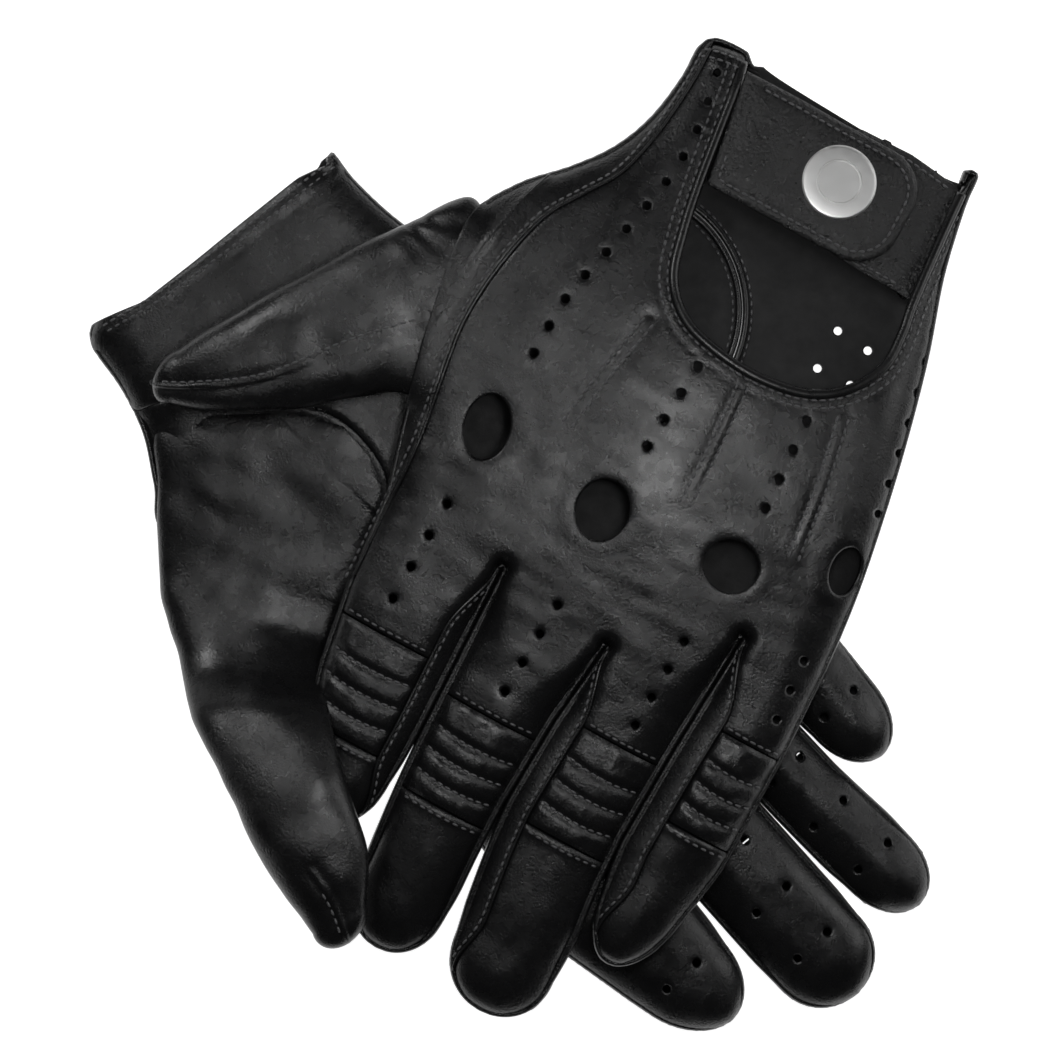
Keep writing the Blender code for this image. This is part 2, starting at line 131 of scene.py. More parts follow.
def nearest_on(line, points, closed=False):
    """For each point: its distance to the line, the nearest spot, and how far along it lies."""
    line = resampled(line, 0.7, closed)
    if closed:
        line = np.vstack([line, line[:1]])
    lengths = np.r_[0.0, np.cumsum(np.hypot(*np.diff(line, axis=0).T))]
    points = np.asarray(points, float)
    found = off_points(line, points)[1]
    away = np.full(len(points), 1e9)
    spot = np.zeros((len(points), 2))
    along = np.zeros(len(points))
    for first in (np.maximum(found - 1, 0), np.minimum(found, len(line) - 2)):
        start, run = line[first], line[first + 1] - line[first]
        share = np.clip(((points - start) * run).sum(1) / np.maximum((run**2).sum(1), 1e-12), 0, 1)
        near = start + run * share[:, None]
        gap = np.hypot(*(points - near).T)
        closer = gap < away
        away[closer], spot[closer] = gap[closer], near[closer]
        along[closer] = (lengths[first] + share * (lengths[first + 1] - lengths[first]))[closer]
    return away, spot, along


def off_points(line, points):
    """For each point: its distance to the nearest of the line's points, and which one that is."""
    tree = kdtree.KDTree(len(line))
    for place, (x, y) in enumerate(line.tolist()):
        tree.insert((x, y, 0.0), place)
    tree.balance()
    found = [tree.find((x, y, 0.0))[1:] for x, y in np.asarray(points).tolist()]
    return np.array([away for _, away in found]), np.array([place for place, _ in found], int)


def sideways_of(line):
    """The unit direction to the right of an open line's run, at each of its points."""
    turn = np.gradient(line, axis=0)
    return np.stack([turn[:, 1], -turn[:, 0]], -1) / np.maximum(np.hypot(*turn.T), 1e-6)[:, None]


def rim_normals(rim):
    """The unit direction across a closed rim, at each of its points."""
    turn = np.roll(rim, -1, axis=0) - np.roll(rim, 1, axis=0)
    return np.stack([-turn[:, 1], turn[:, 0]], -1) / np.maximum(np.hypot(*turn.T), 1e-9)[:, None]


def inside(points, rim):
    """Which of the points lie inside a closed rim."""
    points, rim = np.asarray(points, float), np.asarray(rim, float)
    ahead = np.roll(rim, -1, axis=0)
    rise = np.where(ahead[:, 1] == rim[:, 1], 1e-12, ahead[:, 1] - rim[:, 1])
    found = np.zeros(len(points), bool)
    for first in range(0, len(points), BATCH):
        x, y = points[first:first + BATCH, 0, None], points[first:first + BATCH, 1, None]
        crosses = (rim[:, 1] > y) != (ahead[:, 1] > y)
        at = rim[:, 0] + (y - rim[:, 1]) * (ahead[:, 0] - rim[:, 0]) / rise
        found[first:first + BATCH] = (crosses & (x < at)).sum(1) % 2 == 1
    return found


def flat_sheet(outline, holes=(), spacing=FINE):
    """Triangles that fill an outline evenly, denser along its edges, with the holes left out."""
    rims = [resampled(outline, min(spacing, 1.0), closed=True)]
    rims += [np.asarray(hole, float) for hole in holes]
    (left, bottom), (right, top) = rims[0].min(0), rims[0].max(0)
    levels = np.arange(bottom, top, spacing * 0.87)
    grid = np.array([(x + spacing * 0.5 * (row % 2), y) for row, y in enumerate(levels)
                     for x in np.arange(left, right, spacing)])
    grid = grid[inside(grid, rims[0])]
    grid = grid[nearest_on(rims[0], grid, closed=True)[0] > 1.2 * spacing]
    inner = []
    for rim in rims[1:]:
        grid = grid[(nearest_on(rim, grid, closed=True)[0] > spacing) & ~inside(grid, rim)]
        centre = rim.mean(0)
        reach = np.hypot(*(rim - centre).T)[:, None]
        inner.append(centre + (rim - centre) * (1 + 0.55 * spacing / reach))
    normal = rim_normals(rims[0])
    for depth in (0.35, 0.8):
        for sign in (1, -1):
            moved = rims[0] + sign * normal * depth * spacing
            moved = moved[inside(moved, rims[0])]
            inner.append(moved[nearest_on(rims[0], moved, closed=True)[0] > 0.8 * depth * spacing])
    points = [Vector(p) for rim in rims for p in rim]
    edges, first = [], 0
    for rim in rims:
        edges += [(first + k, first + (k + 1) % len(rim)) for k in range(len(rim))]
        first += len(rim)
    extra = np.vstack([grid] + inner)
    points += [Vector(p) for p in extra[inside(extra, rims[0])]]
    made = delaunay_2d_cdt(points, edges, [], 0, 1e-7)
    flat = np.array([(p.x, p.y) for p in made[0]])
    faces = np.array([f for f in made[2] if len(f) == 3])
    centres = flat[faces].mean(1)
    keep = inside(centres, rims[0])
    for rim in rims[1:]:
        keep &= ~inside(centres, rim)
    return flat, faces[keep], rims[0]


def bumps(points, size, seed, stretch=(1.0, 1.0)):
    """Smooth noise from -1 to 1 over the plan, `size` across."""
    return np.array([noise.noise(Vector((x * stretch[0] / size, y * stretch[1] / size, seed * 7.3)))
                     for x, y in points])


def bell(distance, width):
    """1 at no distance, falling smoothly to nothing past the width."""
    return np.exp(-(np.asarray(distance) / width) ** 2)


def ease(value):
    """A smooth step from 0 to 1."""
    value = np.clip(value, 0.0, 1.0)
    return value * value * (3 - 2 * value)


# ---------------------------------------------------------------- one glove

class Glove:
    """Outline, form and placement of one glove."""

    def __init__(self, side, heading, palm_up, strap_drop, notch, fingers, gaps, little_side,
                 thumb_side, index_side, dome, thumb_mouth, droop):
        self.side, self.palm_up = side, palm_up
        self.fingers, self.gaps = fingers, gaps
        self.little_side, self.thumb_side, self.index_side = little_side, thumb_side, index_side
        self.strap_drop, self.notch, self.dome, self.droop = strap_drop, notch, dome, droop
        low, high = (np.array(corner) * 1000 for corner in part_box(f"{side}_snap_cap"))
        angle = radians(heading)
        ahead = np.array((cos(angle), sin(angle)))
        across = np.array((ahead[1], -ahead[0]))
        cap = (low + high)[:2] / 2
        self.snap = np.array((SNAP[0] + notch, SNAP[1]))
        origin = cap - across * self.snap[0] - ahead * self.snap[1]
        base = THICK if palm_up else LIFT
        self.matrix = Matrix(((across[0], ahead[0], 0, origin[0]), (across[1], ahead[1], 0, origin[1]),
                              (0, 0, -1 if palm_up else 1, base), (0, 0, 0, 1)))
        self.matrix = Matrix.Scale(0.001, 4) @ self.matrix
        self.rim = self.silhouette()
        low, high = thumb_mouth
        at_mouth = (self.rim[:, 0] > 30) & (self.rim[:, 1] > low) & (self.rim[:, 1] < high)
        between = np.zeros(len(self.rim), bool)
        for place, gap in enumerate(self.gaps):
            near = np.abs(self.rim[:, 0] - self.gap_x(place, self.rim[:, 1])) < 3.0
            between |= near & (self.rim[:, 1] > gap[0][1] - 2)
        self.rolled = self.rim[~at_mouth & ~between]
        self.parted = self.rim[between]

    def order(self):
        """The fingers' names, the little finger first."""
        return list(self.fingers)

    def edges(self, finger, y):
        """The x of a finger's two sides at each y, the little-finger side first."""
        y = np.asarray(y, float)
        place = self.order().index(finger)
        tip = self.fingers[finger]["tip"]
        little = np.array(self.little_side)
        index = np.array(self.index_side)
        if place == 0:
            low = np.interp(y, little[:, 1], little[:, 0])
        else:
            low = self.gap_x(place - 1, y) + FINGER_GAP
        if place == 3:
            high = np.interp(y, index[:, 1], index[:, 0])
        else:
            high = self.gap_x(place, y) - FINGER_GAP
        middle, half = (low + high) / 2, (high - low) / 2
        taper = 1.0 - self.fingers[finger].get("taper", 0.08) * np.clip((y - 192.0) / 40.0, 0, 1)
        share = np.clip((y - (tip - TIP_ROUND)) / TIP_ROUND, 0, 1)
        half = half * taper * np.sqrt(np.maximum(0.0, 1.0 - share**2.3))
        lean = self.fingers[finger].get("lean", 0.0) * ease((y - tip + 45) / 45.0)
        return middle - half + lean, middle + half + lean

    def gap_x(self, place, y):
        """The x of the middle of a gap between two fingers, at each y."""
        line = np.array(self.gaps[place])
        return np.interp(y, line[:, 1], line[:, 0])

    def side_line(self, finger, start, end, toward_thumb):
        """A finger's side from one level to another."""
        tip = self.fingers[finger]["tip"]
        levels = np.arange(start, min(end, tip - TIP_ROUND), 1.5)
        if end > tip - TIP_ROUND:
            swing = np.linspace(0, pi / 2, 16)
            levels = np.r_[levels, tip - TIP_ROUND + TIP_ROUND * np.sin(swing)]
            levels = levels[levels <= end + 1e-6]
        levels = np.r_[levels[levels < end - 0.2], end]
        return list(zip(self.edges(finger, levels)[toward_thumb], levels))

    def root(self, finger, toward_thumb):
        """The level where one side of a finger leaves the hand."""
        place = self.order().index(finger)
        if toward_thumb:
            return self.gaps[place][0][1] if place < 3 else self.index_side[0][1]
        return self.gaps[place - 1][0][1] if place else self.little_side[-3][1]

    def hand_little(self):
        """The hand's own part of the little-finger side."""
        return [p for p in self.little_side if p[1] < self.little_side[-3][1]]

    def hand_index(self):
        """The hand's own part of the index side, from the finger down."""
        return [p for p in self.index_side[::-1] if p[1] < self.index_side[0][1] + 1]

    def silhouette(self):
        """The open line round the hand, from the little-finger side of the cuff to the thumb side."""
        points = list(map(tuple, smooth_line(self.hand_little() + [self.little_side[-3]], 2.0)))[:-1]
        for finger in self.order():
            tip = self.fingers[finger]["tip"]
            points += self.side_line(finger, self.root(finger, False), tip, False)
            points += self.side_line(finger, self.root(finger, True), tip, True)[::-1]
        points += list(map(tuple, smooth_line(self.hand_index() + list(self.thumb_side), 2.0)))
        return resampled(points, 0.7)

    def rise(self, points):
        """How far the leather's outer face stands from the glove's middle."""
        points = np.asarray(points, float)
        share = np.clip(off_points(self.rolled, points)[0] / ROLL, 0, 1)
        away, found = off_points(self.parted, points)
        own_root = np.array([gap[0][1] for gap in self.gaps])
        place = np.abs(self.parted[found][:, 0, None] - [gap[0][0] for gap in self.gaps]).argmin(1)
        width = ROOT_ROLL + (ROLL - ROOT_ROLL) * ease((points[:, 1] - own_root[place] - 2.0) / 24.0)
        share = np.minimum(share, np.clip(away / width, 0, 1))
        full = (1.0 - (1.0 - share) ** 2) ** 0.62
        fingers = ease((points[:, 1] - 135) / 40)
        return RIM_RISE + (MIDDLE - RIM_RISE) * full * (1.0 - 0.05 * fingers)

    def outer(self, points, back):
        """The height of the outer face, on the back or on the palm."""
        points = np.asarray(points, float)
        rise = self.rise(points)
        if back != self.palm_up:
            away = np.hypot((points[:, 0] + 5.0) / 52.0, (points[:, 1] - 100.0) / 60.0)
            inward = ease(rise / MIDDLE)
            rise = rise + inward * self.dome * np.exp(-away**2 * 1.2)
            rise = rise + inward * (0.45 * bumps(points, 23.0, 1) + 0.22 * bumps(points, 9.0, 2, (1.0, 0.6)))
            for finger in self.order():
                low, high = self.edges(finger, points[:, 1])
                across = (points[:, 0] - (low + high) / 2) / np.maximum((high - low) / 2, 1.0)
                along = ease((points[:, 1] - self.root(finger, True) - 4) / 25)
                rise = rise + 0.9 * np.maximum(0.0, 1 - across**2) * along * (np.abs(across) < 1)
        if back and self.palm_up:
            rise = np.minimum(rise, MIDDLE - 0.3)
        return MIDDLE + rise if back else MIDDLE - rise

    def settled(self, points):
        """The points with the top glove's cuff hanging down and the lower glove kept above the ground."""
        points = np.array(points, float)
        bend = np.clip(DROOP_END - points[:, 1], 0.0, DROOP_END - DROOP_START)
        straight = np.maximum(DROOP_START - points[:, 1], 0.0)
        points[:, 2] -= self.droop * (bend**2 / (2 * (DROOP_END - DROOP_START)) + straight)
        if self.palm_up:
            points[:, 2] = np.minimum(points[:, 2], THICK)
        return points


PIECES = {}             # every new piece by its name


def placed(name, data):
    """A new object in the scene."""
    piece = bpy.data.objects.new(name, data)
    bpy.context.scene.collection.objects.link(piece)
    return piece


def mesh_piece(glove, name, points, faces, material):
    """A named object from points in the glove's frame."""
    mesh = bpy.data.meshes.new(name)
    mesh.from_pydata(glove.settled(points).tolist(), [], [tuple(int(i) for i in f) for f in faces])
    mesh.transform(glove.matrix)
    if glove.palm_up:
        mesh.flip_normals()
    mesh.materials.append(material)
    mesh.shade_smooth()
    PIECES[name] = placed(name, mesh)
    return PIECES[name]


def outside(piece):
    """Turn every face of a closed or tube-like piece outward."""
    made = bmesh.new()
    made.from_mesh(piece.data)
    bmesh.ops.recalc_face_normals(made, faces=made.faces[:])
    made.to_mesh(piece.data)
    made.free()


def tube_faces(first, rings, around, closed=False):
    """The quads that join rings of points, when the rings' points are numbered on from `first`."""
    faces = []
    for ring in range(rings if closed else rings - 1):
        low = first + ring * around
        high = first + (ring + 1) % rings * around
        for step in range(around):
            after = (step + 1) % around
            faces.append((low + step, low + after, high + after, high + step))
    return faces


def thicken(piece, thickness=LEATHER):
    """Give a leather skin its real thickness, inward from its outer face, and apply it."""
    shell = piece.modifiers.new("leather", "SOLIDIFY")
    shell.thickness = thickness * 0.001
    shell.offset = -1.0
    shell.use_rim = True
    if piece.data.materials[0] == LEATHER_BLACK:
        piece.data.materials.append(INNER_BLACK)
        shell.material_offset = 1
    depsgraph = bpy.context.evaluated_depsgraph_get()
    made = bpy.data.meshes.new_from_object(piece.evaluated_get(depsgraph))
    old = piece.data
    piece.modifiers.clear()
    piece.data = made
    bpy.data.meshes.remove(old)


def skin(glove, name, outline, holes=(), back=True, material=None, relief=None, edge=0.4,
         lift=0.0, thickness=LEATHER, spacing=FINE):
    """A leather panel: a flat pattern raised to the glove's form, with its edge turned down."""
    flat, faces, rim = flat_sheet(outline, holes, spacing)
    level = glove.outer(flat, back)
    sign = 1.0 if back else -1.0
    away = nearest_on(rim, flat, closed=True)[0]
    level = level + sign * (lift - edge * bell(away, 0.75))
    for hole in holes:
        level = level - sign * HOLE_DIP * bell(nearest_on(hole, flat, closed=True)[0], 0.6)
    if relief is not None:
        level = level + sign * relief(flat)
    if not back:
        faces = faces[:, ::-1]
    piece = mesh_piece(glove, name, np.c_[flat, level], faces, material or LEATHER_BLACK)
    thicken(piece, thickness)
    return piece


def stitch_row(glove, line, back=True, lift=0.2, height=None):
    """Separate stitches along a line in plan: each a middle, a direction and the way the leather faces."""
    height = height or (lambda spots: glove.outer(spots, back))
    even = resampled(line, STITCH)
    middles = (even[1:] + even[:-1]) / 2
    run = (even[1:] - even[:-1]) / np.maximum(np.hypot(*(even[1:] - even[:-1]).T), 1e-9)[:, None]
    level, level_ahead = height(middles), height(middles + run * SLOPE_STEP)
    sign = 1.0 if back else -1.0
    return [(Vector((*spot, z + sign * lift)), Vector((*direction, (z_ahead - z) / SLOPE_STEP)), sign)
            for spot, z, direction, z_ahead in zip(middles, level, run, level_ahead)]


def stitching(glove, name, rows):
    """One object that holds every stitch of its rows, each a short rounded bar of thread."""
    around = 6
    profile = [(-0.5, 0.25), (-0.38, 0.8), (-0.15, 1.0), (0.15, 1.0), (0.38, 0.8), (0.5, 0.25)]
    points, faces = [], []
    for middle, direction, facing in rows:
        direction = direction.normalized()
        side = direction.cross(Vector((0, 0, 1))).normalized()
        up = side.cross(direction)
        first = len(points)
        for along, width in profile:
            sink = -facing * abs(along) ** 3 * 1.6
            centre = middle + direction * along * STITCH_LENGTH + up * sink
            for step in range(around):
                angle = 2 * pi * step / around
                points.append(centre + (side * cos(angle) + up * sin(angle)) * THREAD * width)
        faces += tube_faces(first, len(profile), around)
        faces += [tuple(range(first, first + around)), tuple(range(len(points) - around, len(points)))]
    # The thread's grey colour is painted sheen on black thread.
    piece = mesh_piece(glove, name, points, faces, BLACK_THREAD_PAINTED_SHEEN)
    outside(piece)
    return piece


def swept(glove, name, line, section, material, closed=False):
    """A strip whose section (sideways, up) follows a 3-D line; the section is closed."""
    line = np.asarray(line, float)
    ahead = np.roll(line, -1, axis=0) - np.roll(line, 1, axis=0)
    if not closed:
        ahead[0], ahead[-1] = line[1] - line[0], line[-1] - line[-2]
    points, count = [], len(section)
    for spot, direction in zip(line, ahead):
        direction = Vector(direction).normalized()
        side = direction.cross(Vector((0, 0, 1))).normalized()
        up = side.cross(direction)
        for sideways, rise in section:
            points.append(Vector(spot) + side * sideways + up * rise)
    faces = tube_faces(0, len(line), count, closed)
    if not closed:
        faces += [tuple(range(count)), tuple(range(len(points) - count, len(points)))]
    piece = mesh_piece(glove, name, points, faces, material)
    outside(piece)
    return piece


def round_section(width, height, steps):
    """An oval section for a swept strip."""
    return oval((0.0, 0.0), (width / 2, height / 2), steps=steps)


# ---------------------------------------------------------------- materials

def new_material(name):
    """A material with its node tree and its shader."""
    material = bpy.data.materials.new(name)
    material.use_nodes = True
    return material, material.node_tree, material.node_tree.nodes["Principled BSDF"]


def add_node(tree, kind, feed=None, into="Vector", **inputs):
    """A node with its inputs' values set, and one of them fed by another node's output."""
    node = tree.nodes.new(kind)
    for name, value in inputs.items():
        node.inputs[name.replace("_", " ")].default_value = value
    if feed:
        tree.links.new(feed, node.inputs[into])
    return node


def sum_of(tree, first, second, share):
    """The output of a node that adds a share of the second value to the first."""
    node = add_node(tree, "ShaderNodeMath", second, 0)
    node.operation = "MULTIPLY_ADD"
    node.inputs[1].default_value = share
    tree.links.new(first, node.inputs[2])
    return node.outputs[0]


def tinted(tree, shader, share, base, dark, light):
    """Colour the shader between a darker and a lighter shade of one colour."""
    mix = tree.nodes.new("ShaderNodeMix")
    mix.data_type = "RGBA"
    tree.links.new(share, mix.inputs[0])
    mix.inputs[6].default_value = (*(dark * part for part in base), 1.0)
    mix.inputs[7].default_value = (*(light * part for part in base), 1.0)
    tree.links.new(mix.outputs[2], shader.inputs["Base Color"])


def bumped(tree, shader, height, strength, distance):
    """Give the shader a bumpy surface."""
    bump = add_node(tree, "ShaderNodeBump", height, "Height", Strength=strength, Distance=distance)
    tree.links.new(bump.outputs["Normal"], shader.inputs["Normal"])
    return bump


def roughened(tree, shader, share, low, high):
    """Vary the shader's roughness between two values."""
    rough = add_node(tree, "ShaderNodeMapRange", share, "Value", From_Min=0.3, From_Max=0.7,
                     To_Min=low, To_Max=high)
    tree.links.new(rough.outputs["Result"], shader.inputs["Roughness"])


def leather(name, base, roughness, grain, strength, patchy=0.75):
    """Nappa leather: fine sharp pebbles that show in patches, pores and soft colour variation."""
    material, tree, shader = new_material(name)
    place = tree.nodes.new("ShaderNodeTexCoord").outputs["Object"]
    cells = add_node(tree, "ShaderNodeTexVoronoi", place, Scale=1000.0 / grain, Randomness=1.0)
    lines = add_node(tree, "ShaderNodeTexNoise", place, Scale=2200.0 / grain, Detail=3.0, Roughness=0.65,
                     Distortion=1.2)
    broad = add_node(tree, "ShaderNodeTexNoise", place, Scale=42.0, Detail=3.0, Roughness=0.55)
    creases = add_node(tree, "ShaderNodeTexNoise", place, Scale=300.0, Detail=4.0, Roughness=0.6)
    patches = add_node(tree, "ShaderNodeMapRange", broad.outputs["Fac"], "Value", From_Min=0.38,
                       From_Max=0.62, To_Min=1.0 - patchy, To_Max=1.0)
    pebbles = sum_of(tree, cells.outputs["Distance"], lines.outputs["Fac"], -0.9)
    grained = add_node(tree, "ShaderNodeMath", pebbles, 0)
    grained.operation = "MULTIPLY"
    tree.links.new(patches.outputs["Result"], grained.inputs[1])
    height = sum_of(tree, grained.outputs[0], creases.outputs["Fac"], -0.5)
    bumped(tree, shader, height, strength, 0.0002 * grain).invert = True
    roughened(tree, shader, creases.outputs["Fac"], roughness - 0.05, roughness + 0.06)
    tinted(tree, shader, broad.outputs["Fac"], base, 0.72, 1.3)
    return material


def thread(name, base):
    """Bonded thread: plies twisted round each stitch, with a slight gloss."""
    material, tree, shader = new_material(name)
    place = tree.nodes.new("ShaderNodeTexCoord").outputs["Object"]
    plies = add_node(tree, "ShaderNodeTexNoise", place, Scale=5200.0, Detail=2.0)
    tinted(tree, shader, plies.outputs["Fac"], base, 0.6, 1.5)
    bumped(tree, shader, plies.outputs["Fac"], 0.5, 0.00008)
    shader.inputs["Roughness"].default_value = 0.32
    return material


def brushed_metal(name, base, roughness):
    """Satin steel with fine straight brush lines and faint handling marks."""
    material, tree, shader = new_material(name)
    place = tree.nodes.new("ShaderNodeTexCoord").outputs["Object"]
    stretch = add_node(tree, "ShaderNodeMapping", place, Scale=(120.0, 5200.0, 120.0),
                       Rotation=(0.0, 0.0, radians(28.0)))
    brush = add_node(tree, "ShaderNodeTexNoise", stretch.outputs["Vector"], Scale=1.0, Detail=4.0)
    marks = add_node(tree, "ShaderNodeTexNoise", place, Scale=420.0, Detail=5.0)
    roughened(tree, shader, marks.outputs["Fac"], roughness - 0.02, roughness + 0.03)
    bumped(tree, shader, brush.outputs["Fac"], 0.12, 0.00005)
    shader.inputs["Base Color"].default_value = (*base, 1.0)
    shader.inputs["Metallic"].default_value = 1.0
    return material


LEATHER_BLACK = leather("leather_nappa", (0.0055, 0.0055, 0.0059), 0.27, 0.62, 0.6, patchy=0.6)
STRAP_BLACK = leather("strap_leather", (0.007, 0.007, 0.0074), 0.29, 0.9, 1.0, patchy=0.3)
BINDING_BLACK = leather("binding_leather", (0.007, 0.007, 0.0074), 0.28, 0.6, 0.3)
INNER_BLACK = leather("inner_leather", (0.006, 0.006, 0.0065), 0.72, 0.8, 0.2)
# Black thread: its grey base colour is painted sheen, standing in for the glints on its plies.
BLACK_THREAD_PAINTED_SHEEN = thread("black_thread_painted_sheen", (0.095, 0.095, 0.098))
CAP_STEEL = brushed_metal("cap_steel", (0.92, 0.92, 0.91), 0.42)
SNAP_STEEL = brushed_metal("snap_steel", (0.5, 0.5, 0.52), 0.35)


# ---------------------------------------------------------------- the two gloves

LEFT = Glove(
    side="left", heading=-118.5, palm_up=False, strap_drop=3.0, notch=0.0, dome=4.2, droop=0.15,
    thumb_mouth=(66.0, 121.0),
    fingers={"little": {"tip": 219.0, "pad": (154.0, 180.0)},
             "ring": {"tip": 244.5, "pad": (169.5, 197.0), "lean": -2.5},
             "middle": {"tip": 243.0, "pad": (178.5, 204.0), "lean": -1.5},
             "index": {"tip": 221.0, "pad": (173.0, 200.5)}},
    gaps=[[(-40.0, 131.0), (-38.2, 165.0), (-37.5, 190.0), (-39.5, 215.0)],
          [(-11.0, 149.0), (-8.6, 172.0), (-7.6, 195.0), (-8.6, 225.0)],
          [(21.0, 144.0), (20.0, 172.0), (19.5, 190.0), (18.8, 220.0)]],
    little_side=[(-34.0, 4.0), (-33.5, 0.5), (-37.5, -0.5), (-38.5, 9.0), (-42.0, 27.0), (-48.0, 47.0),
                 (-53.0, 68.0), (-57.0, 88.0), (-60.5, 109.0), (-62.5, 130.0), (-63.5, 154.0),
                 (-63.5, 185.0), (-58.0, 219.0)],
    thumb_side=[(60.5, 124.0), (66.5, 98.0), (70.0, 72.0), (64.0, 58.5), (54.0, 47.5), (47.0, 38.0),
                (42.5, 27.0), (40.5, 14.0), (40.5, 5.0), (37.5, 0.8), (28.5, 0.2), (26.0, 2.5)],
    index_side=[(55.5, 142.0), (53.5, 165.0), (50.0, 187.0), (45.0, 205.0), (40.0, 222.0)])

RIGHT = Glove(
    side="right", heading=-48.5, palm_up=True, strap_drop=5.6, notch=4.0, dome=0.3, droop=0.0,
    thumb_mouth=(50.0, 97.0),
    fingers={"little": {"tip": 211.0, "pad": (152.0, 178.0), "taper": 0.0},
             "ring": {"tip": 245.5, "pad": (170.0, 197.0), "lean": -1.0, "taper": -0.05},
             "middle": {"tip": 252.0, "pad": (178.0, 205.0)},
             "index": {"tip": 236.0, "pad": (170.0, 197.0)}},
    gaps=[[(-30.0, 132.0), (-29.0, 180.0), (-29.5, 205.0), (-31.0, 230.0)],
          [(-8.0, 150.0), (-9.0, 200.0), (-10.5, 240.0)],
          [(20.0, 146.0), (19.5, 200.0), (20.5, 236.0)]],
    little_side=[(-34.0, 6.0), (-34.0, 4.5), (-37.0, 4.0), (-36.5, 14.0), (-38.5, 31.0), (-45.0, 55.0),
                 (-51.0, 80.0), (-54.0, 105.0), (-54.5, 130.0), (-53.0, 150.0), (-52.0, 152.0),
                 (-51.0, 185.0), (-49.5, 215.0)],
    thumb_side=[(40.0, 118.0), (38.0, 95.0), (46.0, 74.0), (59.0, 49.0), (53.0, 37.5), (46.5, 26.0),
                (43.0, 14.0), (41.5, 1.0), (38.5, -3.0), (37.5, -3.3)],
    index_side=[(49.0, 142.0), (53.0, 172.0), (54.0, 195.0), (50.0, 215.0), (45.0, 236.0)])

# How much of each finger's width the fourchette takes on top: (little-finger side, thumb side)
LEFT_STRIPS = {"little": (0.3, 6.3), "ring": (0.6, 5.6), "middle": (0.8, 0.8), "index": (5.4, 0.8)}
RIGHT_STRIPS = {"little": (0.3, 2.5), "ring": (2.0, 2.0), "middle": (2.0, 2.0), "index": (2.5, 0.6)}
SEAM = 0.12             # half of the gap between two panels at a seam
WALL_INSET = 0.3        # how far inside a finger's edge the middle of its side wall stands
WALL_LEVEL = MIDDLE + 0.2
WALL_SECTION = round_section(1.8, 4.8, 8)


def strip_width(glove, finger, y, full, toward):
    """A fourchette's visible width along its finger: it opens from the root and closes at the tip."""
    tip = glove.fingers[finger]["tip"]
    y = np.asarray(y, float)
    opened_up = ease((y - glove.root(finger, toward) - 1.0) / 20.0)
    return 0.5 + (full - 0.5) * opened_up * ease((tip - 2.0 - y) / 20.0)


def back_sides(glove, strips, finger, levels):
    """The x of the two seams beside a finger's back."""
    low, high = glove.edges(finger, levels)
    return (low + strip_width(glove, finger, levels, strips[finger][0], False),
            high - strip_width(glove, finger, levels, strips[finger][1], True))


def back_strip(glove, strips, finger, low_from, high_from, end):
    """The outline of a finger's back between its two seams."""
    tip = glove.fingers[finger]["tip"]

    def levels(start):
        top = min(end, tip - TIP_ROUND)
        steps = list(np.arange(start, top, 2.0)) + [top]
        if end > tip - TIP_ROUND:
            reach = (min(end, tip - 1.2) - (tip - TIP_ROUND)) / TIP_ROUND
            steps += list(tip - TIP_ROUND + TIP_ROUND * reach * np.sin(np.linspace(0.08, pi / 2, 14)))
        return np.array(sorted(set(np.round(steps, 3))))

    low_levels, high_levels = levels(low_from), levels(high_from)
    low = back_sides(glove, strips, finger, low_levels)[0]
    high = back_sides(glove, strips, finger, high_levels)[1]
    return list(zip(low + SEAM, low_levels)) + list(zip(high - SEAM, high_levels))[::-1]


def keyhole_edge(glove, inset=0.0):
    """The keyhole's edge, from the thumb side of the cuff round to the little-finger side."""
    knots = [(28.0, 1.2), (26.3, 9.0), (24.6, 22.0), (22.6, 37.0), (20.4, 49.0), (17.0, 60.5), (9.5, 68.0),
             (-2.0, 71.2), (-14.0, 71.6), (-25.0, 69.2), (-33.0, 63.4), (-37.6, 55.0), (-37.8, 46.0),
             (-36.6, 37.0), (-35.4, 20.0), (-34.6, 4.5)]
    line = smooth_line([(x + glove.notch, y) for x, y in knots], 1.0)
    outward = sideways_of(line)
    middle = np.array((-8.0 + glove.notch, 30.0))
    if ((line - middle) * outward).sum() < 0:
        outward = -outward
    return line + outward * inset


def wrap_seam(glove):
    """Where the back of the hand meets the palm leather that wraps round the index side."""
    if glove.palm_up:
        knots = [(49.5, 168.0), (48.0, 142.0), (40.5, 120.0), (42.0, 104.0), (52.0, 92.0), (61.0, 80.0),
                 (64.0, 66.0), (56.0, 48.0), (48.0, 38.0), (42.0, 26.0), (39.0, 14.0), (38.0, 2.0)]
    else:
        knots = [(52.4, 170.0), (53.3, 149.0), (54.2, 127.0), (57.3, 106.0), (58.6, 94.0), (57.4, 79.0),
                 (53.6, 63.0), (47.5, 52.5), (41.8, 43.0), (38.6, 29.0), (37.3, 14.0), (37.4, 3.0)]
    return smooth_line(knots, 1.5)


def row(start, end, count):
    """Perforations spaced evenly between two points."""
    return list(np.linspace(start, end, count))


def line_row(knots, count):
    """Perforations spaced evenly along a curve."""
    line = smooth_line(knots, 1.0)
    return list(resampled(line, np.hypot(*np.diff(line, axis=0).T).sum() / (count - 1)))


KNUCKLES = {"index": ((41.0, 115.5), (5.7, 8.2), 13.5), "middle": ((6.0, 120.0), (6.6, 7.7), 10.0),
            "ring": ((-28.5, 117.0), (7.1, 6.5), 0.0), "little": ((-54.3, 104.5), (4.0, 6.2), 8.0)}

